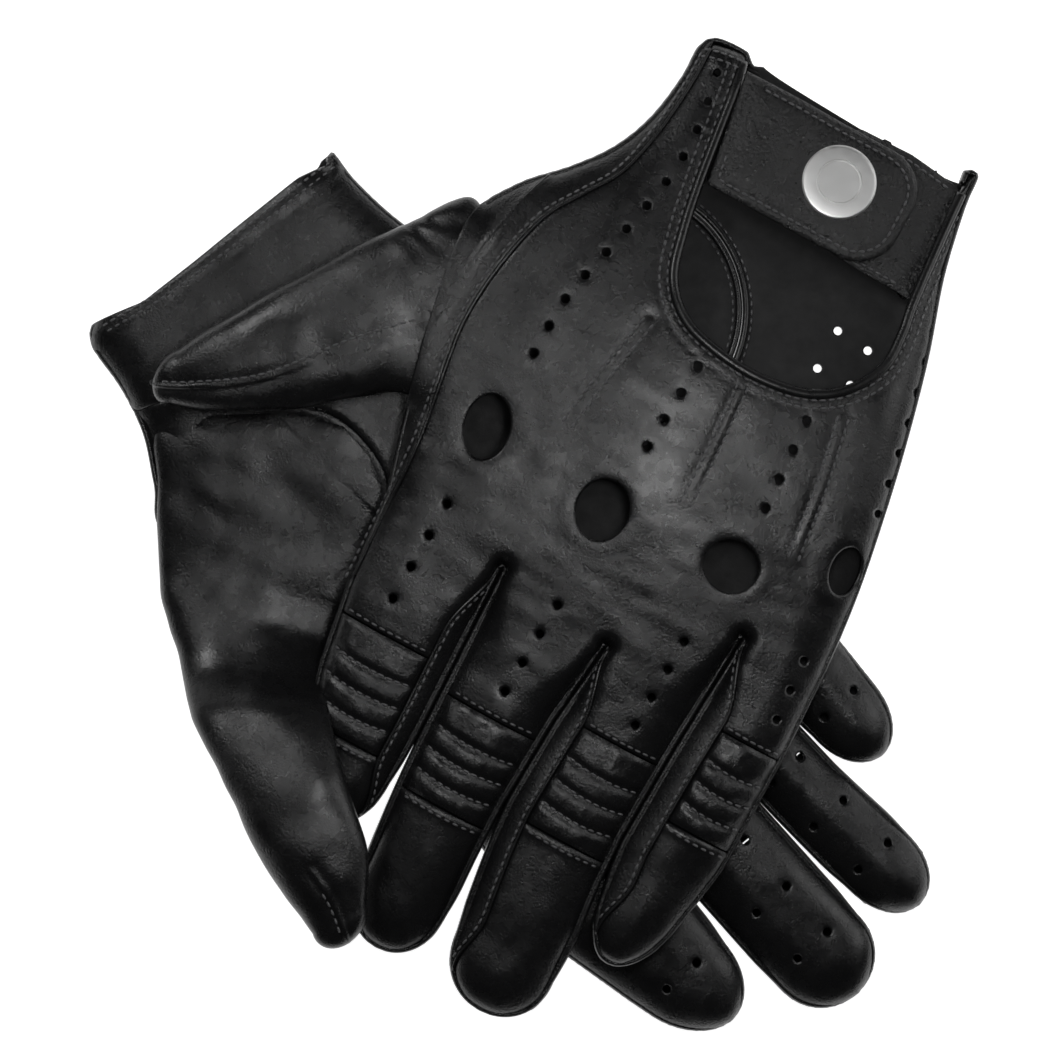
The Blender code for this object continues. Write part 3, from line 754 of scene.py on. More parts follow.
BACK_ROWS = (line_row([(33.0, 9.5), (30.5, 24.0), (30.8, 39.0), (35.0, 60.0), (39.0, 78.0), (39.5, 94.0)], 12)
             + row((2.2, 77.5), (3.8, 101.0), 4) + row((-28.0, 76.5), (-29.2, 100.5), 4)
             + line_row([(-44.3, 33.0), (-48.5, 52.0), (-52.0, 70.0), (-54.8, 88.0)], 8))
FINGER_ROWS = {"index": row((40.6, 137.0), (41.2, 164.0), 4), "middle": row((4.6, 146.0), (5.8, 171.0), 4),
               "ring": row((-27.3, 139.0), (-26.6, 163.0), 4),
               "little": row((-55.8, 129.0), (-56.8, 145.0), 3)}
DARTS = (((18.2, 73.0), (21.5, 90.0), (24.0, 106.0)), ((-9.8, 76.0), (-10.8, 93.0), (-11.2, 109.5)),
         ((-35.5, 71.0), (-39.0, 90.0), (-41.2, 108.5)))


def dart_lines(glove, step):
    """The darts as lines, with points about every `step`."""
    return [smooth_line([(x + glove.notch, y) for x, y in knots], step) for knots in DARTS]


def on_back(glove, relief):
    """The height of the back's outer surface with its relief, for a row of stitches."""
    return lambda spots: glove.outer(spots, True) + relief(spots)


def back_relief(glove):
    """Darts, a slight pull beside each one, and creases in the back of the hand."""
    darts = dart_lines(glove, 1.5)

    def relief(points):
        height = np.zeros(len(points))
        for dart in darts:
            away, _, along = nearest_on(dart, points)
            total = np.hypot(*np.diff(dart, axis=0).T).sum()
            fade = ease((total - along) / 14.0)
            height += fade * (0.6 * bell(away, 0.6) - 0.3 * bell(away - 1.35, 0.5) - 0.22 * bell(away, 2.8))
        edge = nearest_on(keyhole_edge(glove), points)[0]
        height += 0.35 * bell(edge - 3.6, 0.5) - 0.3 * bell(edge - 2.6, 0.5) - 0.3 * bell(edge - 4.6, 0.5)
        for centre, radius, _ in KNUCKLES.values():
            away = np.hypot(points[:, 0] - centre[0], points[:, 1] - centre[1]) - max(radius)
            height += 0.12 * bell(away - 1.6, 1.8) * (away > -2)
        height += 0.16 * bumps(points, 5.5, 9, (0.5, 1.4)) * ease((points[:, 1] - 60) / 40)
        return height
    return relief


def back_of_hand(glove, strips):
    """The back panel, in one piece from the cuff to the quilted pads."""
    little = smooth_line(glove.hand_little()[2:] + [glove.little_side[-3]], 2.0)[:-1]
    outline = [(x + 0.4, y) for x, y in little]
    for finger in glove.order():
        pad = glove.fingers[finger]["pad"][0] - SEAM
        outline += back_strip(glove, strips, finger, glove.root(finger, False), glove.root(finger, True), pad)
    seam = wrap_seam(glove)
    outline += [tuple(p) for p in seam[seam[:, 1] < outline[-1][1] - 1.0]]
    outline += [tuple(p) for p in keyhole_edge(glove, 0.4)]
    spots = list(BACK_ROWS) + [spot for rows in FINGER_ROWS.values() for spot in rows]
    if glove.notch:
        spots = [spot for spot in spots if abs(spot[0]) < 34 and 60 < spot[1] < 150]
    holes = [oval(spot, (HOLE, HOLE), steps=16) for spot in spots]
    names = ("index", "middle", "ring") if glove.palm_up else tuple(KNUCKLES)
    shift = -6.0 if glove.palm_up else 0.0
    for finger in names:
        (x, y), radius, lean = KNUCKLES[finger]
        holes.append(oval((x + shift, y), radius, lean, 64))
    piece = skin(glove, f"{glove.side}_back_leather", outline, holes, relief=back_relief(glove))
    settle(glove, piece, f"{glove.side}_back_panel")


def settle(glove, piece, *nodes, body=None):
    """Fix a piece to a body, the glove's own if none is given, in place of plain nodes."""
    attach(piece, body or f"{glove.side}_glove")
    if nodes:
        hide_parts(*nodes)


def fourchette_strips(glove, strips):
    """The side strips of the fingers, folded over beside each finger's back."""
    order = glove.order()
    for place in range(3):
        low, high = order[place], order[place + 1]
        made, wall = [], []
        for finger, toward in ((low, True), (high, False)):
            start = glove.root(finger, toward) + 0.6
            tip = glove.fingers[finger]["tip"]
            levels = np.arange(start, tip - 6.2, 1.5)
            edge = glove.edges(finger, levels)[toward]
            seam = back_sides(glove, strips, finger, levels)[toward]
            gap = SEAM if toward else -SEAM
            outline = list(zip(seam + gap, levels)) + list(zip(edge, levels))[::-1]
            made.append(skin(glove, f"fork_{finger}_{toward}", outline, edge=0.35, spacing=0.8))
            inward = WALL_INSET + 0.85 * ease((levels - tip + 24.0) / 14.0)
            side = [(x, y, WALL_LEVEL) for x, y in zip(edge + inward * (-1 if toward else 1), levels)]
            wall += side[::-1] if toward else side
        root = glove.gaps[place][0]
        turn = len(wall) - len(side)
        wall[turn:turn] = [(root[0] + 0.35 * step, root[1] - 0.4, WALL_LEVEL) for step in (-1, 0, 1)]
        made.append(swept(glove, f"wall_{low}", wall, WALL_SECTION, LEATHER_BLACK))
        piece = joined(made, f"{glove.side}_{low}_{high}_fourchette_leather")
        settle(glove, piece, f"{glove.side}_{low}_{high}_fourchette")


def joined(objects, name):
    """Objects of one glove made into a single named object."""
    material = objects[0].data.materials[0]
    made = bmesh.new()
    for piece in objects:
        made.from_mesh(piece.data)
    mesh = bpy.data.meshes.new(name)
    made.to_mesh(mesh)
    made.free()
    mesh.materials.append(material)
    for piece in objects:
        PIECES.pop(piece.name, None)
        bpy.data.objects.remove(piece)
    mesh.shade_smooth()
    PIECES[name] = placed(name, mesh)
    return PIECES[name]


def quilt(glove, strips, finger):
    """The padded panel's relief: three sewn channels that sag toward the tip between puffed rolls."""
    start, end = glove.fingers[finger]["pad"]
    channels = [start + (end - start) * share for share in (0.29, 0.52, 0.75)]

    def sag(points):
        low, high = back_sides(glove, strips, finger, points[:, 1])
        across = (points[:, 0] - (low + high) / 2) / np.maximum((high - low) / 2, 1.0)
        return 1.3 * (1 - np.clip(across, -1, 1) ** 2)

    def relief(points):
        level = points[:, 1] - sag(points)
        height = np.full(len(points), 0.55)
        for y in channels:
            height -= 0.75 * bell(level - y, 1.15)
        puff = 0.35 * np.sin(np.clip((level - start) / (end - start), 0, 1) * pi)
        wrinkle = 0.2 * bumps(points, 2.6, 21, (0.9, 0.5)) + 0.12 * bumps(points, 1.3, 22, (1.2, 0.5))
        low, high = back_sides(glove, strips, finger, points[:, 1])
        side = np.minimum(points[:, 0] - low, high - points[:, 0])
        return (height + puff + wrinkle) * ease(side / 2.2) - 0.2 * (1 - ease(side / 1.2))
    return relief, channels, sag


def finger_backs(glove, strips):
    """The quilted pad and the fingertip on the back of each finger, with their stitches."""
    rows = []
    for finger in glove.order():
        start, end = glove.fingers[finger]["pad"]
        tip = glove.fingers[finger]["tip"]
        relief, levels, sag = quilt(glove, strips, finger)
        outline = back_strip(glove, strips, finger, start + SEAM, start + SEAM, end - SEAM)
        pad = skin(glove, f"{glove.side}_{finger}_pad_leather", outline, relief=relief, edge=0.55,
                   spacing=0.7)
        settle(glove, pad, f"{glove.side}_{finger}_quilted_pad")
        outline = back_strip(glove, strips, finger, end + SEAM, end + SEAM, tip)

        def tip_relief(points, end=end):
            return 0.35 * bell(points[:, 1] - end - 1.2, 1.2) + 0.12 * bumps(points, 4.0, 31, (1.0, 0.6))

        cap = skin(glove, f"{glove.side}_{finger}_tip_leather", outline, relief=tip_relief, edge=0.5,
                   spacing=0.9)
        settle(glove, cap, f"{glove.side}_{finger}_fingertip")
        for y in levels + [start - 1.5, end + 1.6]:
            across = np.linspace(0.06, 0.94, 12)
            low, high = back_sides(glove, strips, finger, np.full(len(across), y))
            flat = np.stack([low + (high - low) * across, np.full(len(across), y)], -1)
            flat[:, 1] += sag(flat) * (1.0 if y in levels else 0.35)
            height = on_back(glove, relief) if y in levels else None
            rows += stitch_row(glove, flat, lift=0.28, height=height)
    return rows


GUSSET_OVAL = ((26.0, 74.0), (31.0, 32.0))
GUSSET_SEAM = [(38.2, 96.0), (27.0, 93.0), (14.0, 85.5), (7.2, 75.0), (5.4, 64.0), (7.5, 53.5), (14.5, 43.5),
               (23.5, 34.5), (33.5, 25.5), (44.4, 20.4)]


def gusset_line(glove):
    """The seam of the thumb piece in the palm: a full oval, or from one side of the thumb to the other."""
    if glove.palm_up:
        return smooth_line(GUSSET_SEAM, 1.0), False
    return np.array(oval(*GUSSET_OVAL, steps=110)), True


def palm_side(glove):
    """The palm and finger fronts in one piece, with the thumb piece sewn in and the perforations."""
    seam, closed = gusset_line(glove)
    mouth = [(24.0, 1.5), (8.0, 2.4), (-10.0, 3.2), (-26.0, 4.0)]
    rim = [tuple(p) for p in glove.rim]
    holes = [oval(spot, (HOLE, HOLE), steps=16) for spot in palm_perforations(glove)]
    if closed:
        holes.append([tuple(p) for p in seam])
        piece_outline = [tuple(p) for p in GUSSET_OVAL[0] + (seam - GUSSET_OVAL[0]) * 0.992]
    else:
        thumb_side = [k for k, p in enumerate(rim) if p[0] > 30 and p[1] < seam[0][1]]
        first = thumb_side[0]
        last = max(k for k in thumb_side if rim[k][1] > seam[-1][1])
        piece_outline = [tuple(p) for p in seam] + rim[first:last][::-1]
        rim = rim[:first] + [tuple(p) for p in seam] + rim[last + 1:]

    def relief(points):
        height = 0.3 * bumps(points, 15.0, 41, (0.7, 1.0)) + 0.12 * bumps(points, 5.0, 42, (1.0, 0.5))
        height += 0.25 * bell(nearest_on(seam, points, closed)[0] - 1.5, 0.9)
        if not glove.palm_up:
            return height
        crease = smooth_line([(-34.0, 118.0), (-5.0, 110.0), (20.0, 116.0), (36.0, 128.0)], 2.0)
        height -= 0.5 * bell(nearest_on(crease, points)[0], 1.8)
        hem = points[:, 1] - 4.6 + 0.1 * points[:, 0]
        return height + 0.3 * bell(hem, 2.2) - 0.25 * bell(hem - 3.0, 0.7)

    def sunk(points):
        """How far the thumb piece lies below the palm, where the thumb's own leather covers it."""
        return (1.1 if glove.palm_up else 0.0) * ease(nearest_on(seam, points, closed)[0] / 5.0)

    piece = skin(glove, f"{glove.side}_palm_leather", rim + mouth, holes, back=False, relief=relief, edge=0.3)
    settle(glove, piece, f"{glove.side}_palm_panel")
    gusset = skin(glove, f"{glove.side}_gusset_leather", piece_outline, back=False,
                  relief=lambda points: 0.35 * bumps(points, 12.0, 43) - sunk(points), edge=0.35)
    settle(glove, gusset, f"{glove.side}_thumb_gusset")


def side_band(glove):
    """The turned-in edge that closes the sides of the hand and fingers between the palm and the back."""
    inset = sideways_of(glove.rim) * WALL_INSET * 3
    path = glove.rim + inset
    if inside(path, glove.rim).mean() < 0.5:
        path = glove.rim - inset
    path = path[inside(path, glove.rim)]
    path = path[nearest_on(glove.rim, path, True)[0] > WALL_INSET * 2]
    band = swept(glove, f"{glove.side}_side_leather", np.c_[path, np.full(len(path), WALL_LEVEL)],
                 WALL_SECTION, LEATHER_BLACK)
    settle(glove, band)


def thumb_seam_ring(glove):
    """The bound seam allowance of the thumb piece, standing inside the palm as two rounded edges."""
    seam, closed = gusset_line(glove)
    sideways = sideways_of(seam)
    rings, rows = [], []
    for place, (shift, high) in enumerate(((-0.95, 2.3), (0.95, 1.9))):
        line = seam + sideways * shift
        line = line if closed else line[4:-4]
        level = glove.outer(line, False) + LEATHER + high / 2 - 0.3
        rings.append(swept(glove, f"ring_{place}", np.c_[line, level], round_section(1.7, high, 10),
                           BINDING_BLACK, closed=closed))
    ring = joined(rings, f"{glove.side}_thumb_seam_bound")
    settle(glove, ring, f"{glove.side}_thumb_seam_binding")
    for shift in (-2.3, 2.3):
        line = (seam + sideways * shift)[6:-6]
        rows += stitch_row(glove, line, lift=0.0, height=lambda p: glove.outer(p, False) + LEATHER + 0.15)
    return rows


SECOND_SEAM = ((57.5, 52.0), (61.5, 66.0), (64.0, 83.0), (64.3, 97.0))


def side_wrap(glove):
    """The palm leather that wraps round the index side, between its seam and the edge of the hand."""
    seam = wrap_seam(glove)
    seam = seam[seam[:, 1] < seam[0][1] - 2.0]
    finger = glove.order()[3]
    levels = np.arange(glove.index_side[0][1], seam[0][1], 2.0)[::-1]
    x = glove.edges(finger, levels)[1]
    hand = [tuple(p) for p in smooth_line(glove.hand_index()[1:] + list(glove.thumb_side)[:-2], 2.0)]
    outline = [tuple(p + (2 * SEAM, 0.0)) for p in seam[::-1]] + list(zip(x, levels)) + hand

    second = smooth_line(SECOND_SEAM, 1.0)

    def relief(points):
        near = nearest_on(seam, points)[0]
        height = 0.35 * bell(near - 0.7, 0.5) + 0.18 * bumps(points, 7.0, 61, (0.5, 1.0))
        if glove.palm_up:
            return height
        return height + 0.5 * bell(nearest_on(second, points)[0], 0.55)

    wrap = skin(glove, f"{glove.side}_side_leather", outline, relief=relief, edge=0.2, spacing=0.9)
    settle(glove, wrap)


THUMBS = {
    "left": [((65.0, 70.0), (54.0, 119.0), 6.0, 5.2), ((73, 67), (63, 118), 6.1, 6.2),
             ((83, 80), (72, 124), 6.3, 6.2), ((94, 95), (82, 132), 6.4, 6.3),
             ((104, 111), (94, 139.5), 6.4, 6.0), ((112, 124), (105, 145.5), 6.2, 5.3),
             ((118, 135), (113.5, 148), 5.6, 4.2)],
    "right": [((7.0, 57.5), (7.0, 71.0), 1.7, 1.8), ((12.5, 47.5), (11.5, 81.5), 2.6, 2.9),
              ((22.5, 38.0), (18.0, 86.5), 3.6, 3.9), ((33.5, 29.5), (24.0, 90.5), 4.6, 4.9),
              ((44.0, 28.0), (29.0, 92.5), 5.4, 5.7), ((53.0, 38.5), (33.0, 94.0), 5.8, 6.1),
              ((62.5, 50.0), (38.5, 95.5), 5.9, 6.3), ((70.5, 61), (44.0, 98.5), 4.4, 6.6),
              ((77.5, 76), (49, 102.5), 0.0, 6.9), ((83.5, 90), (55.5, 108), -10.0, 7.0),
              ((88, 108), (60.5, 118.5), -17.5, 6.8),
              ((91.5, 124), (66, 131), -20.5, 6.6), ((94, 138), (72, 143), -21.0, 6.0),
              ((95, 148), (80, 151.5), -21.0, 4.8)]}
GATHER = {"left": (73.0, 67.0), "right": (62.5, 50.0)}
THUMB_SEAM = {"left": [(64.0, 97.0), (80.0, 113.0), (95.0, 131.0), (110.0, 141.5), (121.0, 147.0)],
              "right": [(84.0, 136.0), (85.5, 146.0), (90.0, 157.0)]}
HINGE = {"left": ((63.0, 91.0, 11.0), (80.0, 94.5, 11.0)), "right": ((44.0, 64.0, 0.6), (59.5, 74.0, 0.6))}


def thumb_sections(glove, step=0.9):
    """The thumb's sections from root to tip: two edges, the height between them and half the depth."""
    knots = [(*low, *high, level, half) for low, high, level, half in THUMBS[glove.side]]
    line = smooth_line(knots, step)
    low, high = line[-1][:2], line[-1][2:4]
    ahead = line[-1][:4] - line[-4][:4]
    ahead = (ahead[:2] + ahead[2:]) / np.linalg.norm(ahead[:2] + ahead[2:])
    width = np.linalg.norm(high - low) / 2
    middle = (low + high) / 2
    tip = []
    for angle in np.linspace(0.12, pi / 2 * 0.97, 14):
        half = (high - low) / 2 * cos(angle)
        centre = middle + ahead * width * 0.85 * sin(angle)
        depth = max(0.5, line[-1][5] * cos(angle) ** 0.6)
        tip.append([*(centre - half), *(centre + half), line[-1][4], depth])
    return np.vstack([line, tip])


def thumb(glove):
    """The thumb as one leather tube: gathered at its root, creased where it bends, with its seam on top."""
    sections = thumb_sections(glove)
    around = 110
    swing = np.linspace(0, 2 * pi, around, endpoint=False)
    across = np.sign(np.cos(swing)) * np.abs(np.cos(swing)) ** 0.92
    up = -1.0 if glove.palm_up else 1.0
    points, outward = [], []
    for section in sections:
        low, high = section[:2], section[2:4]
        wide = np.linalg.norm(high - low) - 40.0 if glove.palm_up else 0.0
        flatness = 0.82 - 0.3 * ease(max(0.0, wide, 25.0 * (high[0] < 15.0)) / 18.0)
        for a, d in zip(across, np.sign(np.sin(swing)) * np.abs(np.sin(swing)) ** flatness):
            spot = (low + high) / 2 + (high - low) / 2 * a
            points.append((*spot, section[4] + section[5] * d))
            side = (high - low) / max(np.linalg.norm(high - low), 1e-6) * a
            outward.append((*side, d))
    points = np.array(points)
    outward = np.array(outward)
    outward /= np.linalg.norm(outward, axis=1)[:, None]
    points += outward * thumb_relief(glove, points, outward, up)[:, None]
    faces = tube_faces(0, len(sections), around)
    faces.append(tuple(range(len(points) - around, len(points))))
    piece = mesh_piece(glove, f"{glove.side}_thumb_leather", points, faces, LEATHER_BLACK)
    outside(piece)
    thicken(piece)
    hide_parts(f"{glove.side}_thumb")
    bend(glove, piece)
    thumb_stitches(glove, points, around, up)


def bend(glove, piece):
    """Bake the piece's placement into its mesh; the ends of the thumb's hinge are placed in the model's frame
    but not used.
    """
    start, end = (glove.matrix @ Vector(p) for p in HINGE[glove.side])
    tuple(start)
    tuple(end)
    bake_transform(piece)


def thumb_relief(glove, points, outward, up):
    """Creases, gathers and the lengthwise seam, as a push along each point's own outward direction."""
    top = ease(outward[:, 2] * up * 1.5)
    height = np.array([0.9 * noise.noise(Vector(p) / 19.0) + 0.45 * noise.noise(Vector(p) / 8.0)
                       for p in points])
    flat = points[:, :2]
    root = np.array([GATHER[glove.side]])
    from_root = nearest_on(root, flat)[0]
    height *= ease((from_root - 3.0) / 14.0)
    seam = smooth_line(THUMB_SEAM[glove.side], 1.0)
    away = nearest_on(seam, flat)[0]
    height += top * (0.6 * bell(away, 0.55) - 0.45 * bell(away, 2.2))
    folds = np.array([noise.noise(Vector((d * 0.2 + 1.5 * noise.noise(Vector((x, y, 4.0)) / 18.0),
                                          (x + y) * 0.05, 2.0))) for d, (x, y) in zip(from_root, flat)])
    strength = (0.9 if glove.side == "left" else 0.35) * bell(from_root - 12.0, 10.0)
    return height + folds * strength * (0.4 + 0.6 * top)


def thumb_stitches(glove, points, around, up):
    """The stitches beside the thumb's seam, laid on its finished surface."""
    seam = smooth_line(THUMB_SEAM[glove.side], 1.0)
    rings = points.reshape(-1, around, 3)
    half = rings[:, :around // 2] if up > 0 else rings[:, around // 2:]
    shown = half.reshape(-1, 3)

    def height(spots):
        gap = np.hypot(spots[:, None, 0] - shown[None, :, 0], spots[:, None, 1] - shown[None, :, 1])
        near = np.argsort(gap, axis=1)[:, :4]
        return shown[near, 2].mean(1)

    line = (seam + sideways_of(seam) * 1.2)[6:-4]
    rows = stitch_row(glove, line, back=up > 0, lift=0.2, height=height)
    piece = stitching(glove, f"{glove.side}_thumb_stitches", rows)
    bend(glove, piece)


def keyhole_binding(glove):
    """The leather strip folded over the keyhole's edge, with a stitch row on each side of it."""
    path = keyhole_edge(glove, 1.0)[2:-2]
    level = glove.outer(path, True) - 0.15
    binding = swept(glove, f"{glove.side}_keyhole_bound", np.c_[path, level], round_section(2.5, 2.0, 12),
                    BINDING_BLACK)
    settle(glove, binding, f"{glove.side}_keyhole_binding")
    rows = []
    relief = back_relief(glove)
    for inset in (2.6, 4.6):
        line = keyhole_edge(glove, inset)[3:-3]
        roomy = nearest_on(glove.rim, line)[0] > 1.2
        first = int(np.flatnonzero(roomy)[0])
        last = int(np.flatnonzero(roomy[first:] & (np.arange(first, len(line)) > 20)).max()) + first
        blocked = np.flatnonzero(~roomy[40:])
        last = min(last, 40 + int(blocked[0]) - 1) if len(blocked) else last
        rows += stitch_row(glove, line[first:last], lift=0.3, height=on_back(glove, relief))
    return rows


def cuff_facing(glove):
    """The hem turned inside the palm's cuff."""
    outline = [(-30.0, 5.4), (-30.5, 11.0), (-10.0, 10.0), (12.0, 9.4), (34.0, 8.8), (36.0, 3.6), (20.0, 3.2),
               (-10.0, 4.4)]
    facing = skin(glove, f"{glove.side}_facing_leather", outline, back=False, edge=0.1, lift=-LEATHER - 0.15,
                  thickness=0.7, material=INNER_BLACK)
    settle(glove, facing, f"{glove.side}_cuff_facing")


STRAP_ROOT = {"left": 26.5, "right": 24.6}
STRAP_LEVEL, TAB_LEVEL, CAP_LEVEL = 15.9, 10.9, 17.6    # the tops of a strap that is not let down


def strap_plan(glove, root, end=-15.5, low=5.5, high=36.0, corner=11.0):
    """The strap in plan: its slanting root, and its rounded free end."""
    lower = arc((end, low + corner), (corner, corner), 270, 180, 10)
    upper = arc((end, high - corner), (corner, corner), 180, 90, 10)
    outline = [(root, low), (root - 4.6, high)] + upper[::-1] + lower[::-1]
    return [(x + glove.notch, y) for x, y in outline]


def strap(glove):
    """The strap with its lining and its stitches."""
    root = STRAP_ROOT[glove.side]
    outline = strap_plan(glove, root)
    rim = resampled(outline, 1.0, closed=True)
    top = STRAP_LEVEL - glove.strap_drop

    def strap_top(points):
        away, _, along = nearest_on(rim, points, closed=True)
        arch = bell(points[:, 0] - glove.notch - 13.0, 10.0)
        crown = 0.8 * ease(away / 7.0) * (0.3 if glove.palm_up else 1.0)
        groove = -0.35 * bell(away - 2.3, 0.6)
        groove += 0.16 * np.cos(2 * pi * along / STITCH) * bell(away - 1.1, 0.8)
        lift = arch * (0.0 if glove.palm_up else 1.5)
        return top - 0.7 * bell(away, 0.7) + crown + groove + lift + 0.12 * bumps(points, 6.0, 71)

    sheet = sheet_at(glove, f"{glove.side}_strap_leather", outline, strap_top, STRAP_BLACK, 1.0)
    settle(glove, sheet, f"{glove.side}_strap", body=f"{glove.side}_strap")
    inner = strap_plan(glove, root - 1.0, end=-15.2, low=6.3, high=35.2, corner=10.2)
    lining = sheet_at(glove, f"{glove.side}_lining_leather", inner, lambda p: strap_top(p) - 1.15,
                      INNER_BLACK, 0.7)
    settle(glove, lining, f"{glove.side}_strap_lining", body=f"{glove.side}_strap")
    inset = inset_line(rim, 2.3)
    edge = inset[inset[:, 0] - glove.notch < 21.0]
    rows = stitch_row(glove, opened(edge), lift=0.3, height=strap_top)
    settle(glove, stitching(glove, f"{glove.side}_strap_stitches", rows), body=f"{glove.side}_strap")


def tab(glove):
    """The tab below the strap that carries the stud, with its stitches."""
    outline = [(-36.5, 5.5), (-37.5, 20.0), (-37.0, 36.5), (-20.0, 36.3), (-8.0, 35.0), (2.0, 29.0),
               (4.0, 19.5), (2.0, 10.0), (-6.0, 4.0), (-20.0, 3.6)]
    outline = [(x + glove.notch * 0.9, y) for x, y in outline]
    rim = resampled(outline, 1.0, closed=True)
    level = TAB_LEVEL - glove.strap_drop

    def tab_top(points):
        slope = 0.9 * ease((points[:, 0] + 36) / 14)
        worn = 0.5 * bell(nearest_on(rim, points, closed=True)[0], 0.7)
        return level + slope - worn + 0.15 * bumps(points, 8.0, 72)

    piece = sheet_at(glove, f"{glove.side}_tab_leather", outline, tab_top, STRAP_BLACK, 1.0)
    settle(glove, piece, f"{glove.side}_strap_tab")
    edge = inset_line(rim, 1.8)
    rows = stitch_row(glove, opened(edge[edge[:, 0] > -33.0 + glove.notch]), lift=0.25, height=tab_top)
    settle(glove, stitching(glove, f"{glove.side}_tab_stitches", rows))


def inset_line(rim, depth):
    """A closed rim moved inward by a depth, without its crossings."""
    normal = rim_normals(rim)
    if not inside([rim[0] + normal[0] * 0.5], rim)[0]:
        normal = -normal
    moved = rim + normal * depth
    return moved[(nearest_on(rim, moved, closed=True)[0] > depth * 0.97) & inside(moved, rim)]


def opened(line):
    """A closed line opened where its points lie widest apart."""
    gaps = np.hypot(*(np.roll(line, -1, axis=0) - line).T)
    return np.roll(line, -(int(gaps.argmax()) + 1), axis=0)


def sheet_at(glove, name, outline, height, material, thickness, spacing=0.9):
    """A leather sheet at heights given by a function of the plan."""
    flat, faces, _ = flat_sheet(outline, (), spacing)
    piece = mesh_piece(glove, name, np.c_[flat, height(flat)], faces, material)
    thicken(piece, thickness)
    return piece


def lathed(glove, name, profile, material, steps=96):
    """A turned piece about the snap's axis, from (radius, height) pairs, centre first."""
    x, y = glove.snap
    points = [(x, y, profile[0][1])]
    for radius, level in profile[1:-1]:
        points += [(*spot, level) for spot in oval((x, y), (radius, radius), steps=steps)]
    points.append((x, y, profile[-1][1]))
    faces = [(0, 1 + (step + 1) % steps, 1 + step) for step in range(steps)]
    faces += tube_faces(1, len(profile) - 2, steps)
    last = len(points) - 1 - steps
    faces += [(len(points) - 1, last + step, last + (step + 1) % steps) for step in range(steps)]
    piece = mesh_piece(glove, name, points, faces, material)
    outside(piece)
    piece.data.set_sharp_from_angle(angle=radians(25))
    return piece


def snap(glove):
    """The cap: a flat satin disc with a rolled rim and a plain incised ring, with the snap under it."""
    face = CAP_LEVEL - glove.strap_drop
    profile = [(0.0, face), (5.2, face), (5.35, face - 0.14), (5.65, face - 0.14), (5.8, face),
               (8.5, face - 0.02),
               (9.0, face - 0.12), (9.35, face - 0.4), (CAP_RADIUS, face - 0.8), (9.4, face - 1.25),
               (9.0, face - 1.5), (1.7, face - 1.5), (1.6, face - 3.6), (0.0, face - 3.6)]
    cap = lathed(glove, f"{glove.side}_cap_disc", profile, CAP_STEEL)
    settle(glove, cap, f"{glove.side}_snap_cap", body=f"{glove.side}_strap")


def fourchette_seams(glove, strips, from_root, to_tip):
    """The seams beside the fingers' backs: whether each is toward the thumb, and its line."""
    found = []
    for finger in glove.order():
        for toward in (False, True):
            if strips[finger][toward] < 1.0:
                continue
            start = glove.root(finger, toward) + from_root
            levels = np.arange(start, glove.fingers[finger]["tip"] - to_tip, 1.0)
            found.append((toward, np.c_[back_sides(glove, strips, finger, levels)[toward], levels]))
    return found


def seam_stitches(glove, strips):
    """The rows of stitches that show on the back of the hand and the fingers."""
    rows = []
    height = on_back(glove, back_relief(glove))
    for dart in dart_lines(glove, 1.0):
        for side in (-1.35, 1.35):
            rows += stitch_row(glove, dart + sideways_of(dart) * side, lift=0.42, height=height)
    rows += stitch_row(glove, wrap_seam(glove)[3:-2] + (1.6, 0.0), lift=0.25)
    for toward, seam in fourchette_seams(glove, strips, 3.0, 8.0):
        rows += stitch_row(glove, seam + (0.9 if toward else -0.9, 0.0), lift=0.2)
    return rows


def welts(glove, strips):
    """The narrow folded edges that stand up along the seams of the back."""
    lines = [wrap_seam(glove)[1:-1]]
    if not glove.palm_up:
        lines.append(smooth_line(SECOND_SEAM, 1.0))
    lines += [seam for _, seam in fourchette_seams(glove, strips, 0.5, 5.0)]
    section = round_section(0.75, 0.7, 8)
    made = []
    for place, line in enumerate(lines):
        level = glove.outer(line, True) + 0.05
        made.append(swept(glove, f"welt_{place}", np.c_[line, level], section, BINDING_BLACK))
    settle(glove, joined(made, f"{glove.side}_seam_welts"))


def palm_perforations(glove):
    """The holes in the palm of the glove on top, and two columns down each finger of the one below."""
    if not glove.palm_up:
        return [(-24.9, 51.6), (-33.9, 52.4), (-24.8, 62.5), (-34.1, 62.3)]
    spots = []
    for finger in glove.order():
        for away in (17.5, 33.0, 48.5):
            y = glove.fingers[finger]["tip"] - away
            low, high = glove.edges(finger, y)
            spots += [(float(low + high) / 2 + side, y) for side in (-5.0, 5.0)]
    return spots


def hem_rows(glove):
    """Two rows along the palm's cuff where it faces up, and the hem of the back's thumb side."""
    if not glove.palm_up:
        hem = smooth_line([(28.5, 3.6), (34.0, 4.2), (39.0, 5.4)], 1.0)
        return stitch_row(glove, hem, lift=0.2) + stitch_row(glove, hem + (0.0, 2.0), lift=0.2)
    rows = []
    for depth in (1.4, 3.2):
        knots = [(36.0, -2.2), (20.0, 0.9), (0.0, 2.7), (-20.0, 4.0), (-35.0, 4.6)]
        line = smooth_line([(x, y + depth) for x, y in knots], 1.0)
        rows += stitch_row(glove, line, back=False, lift=0.35)
    return rows


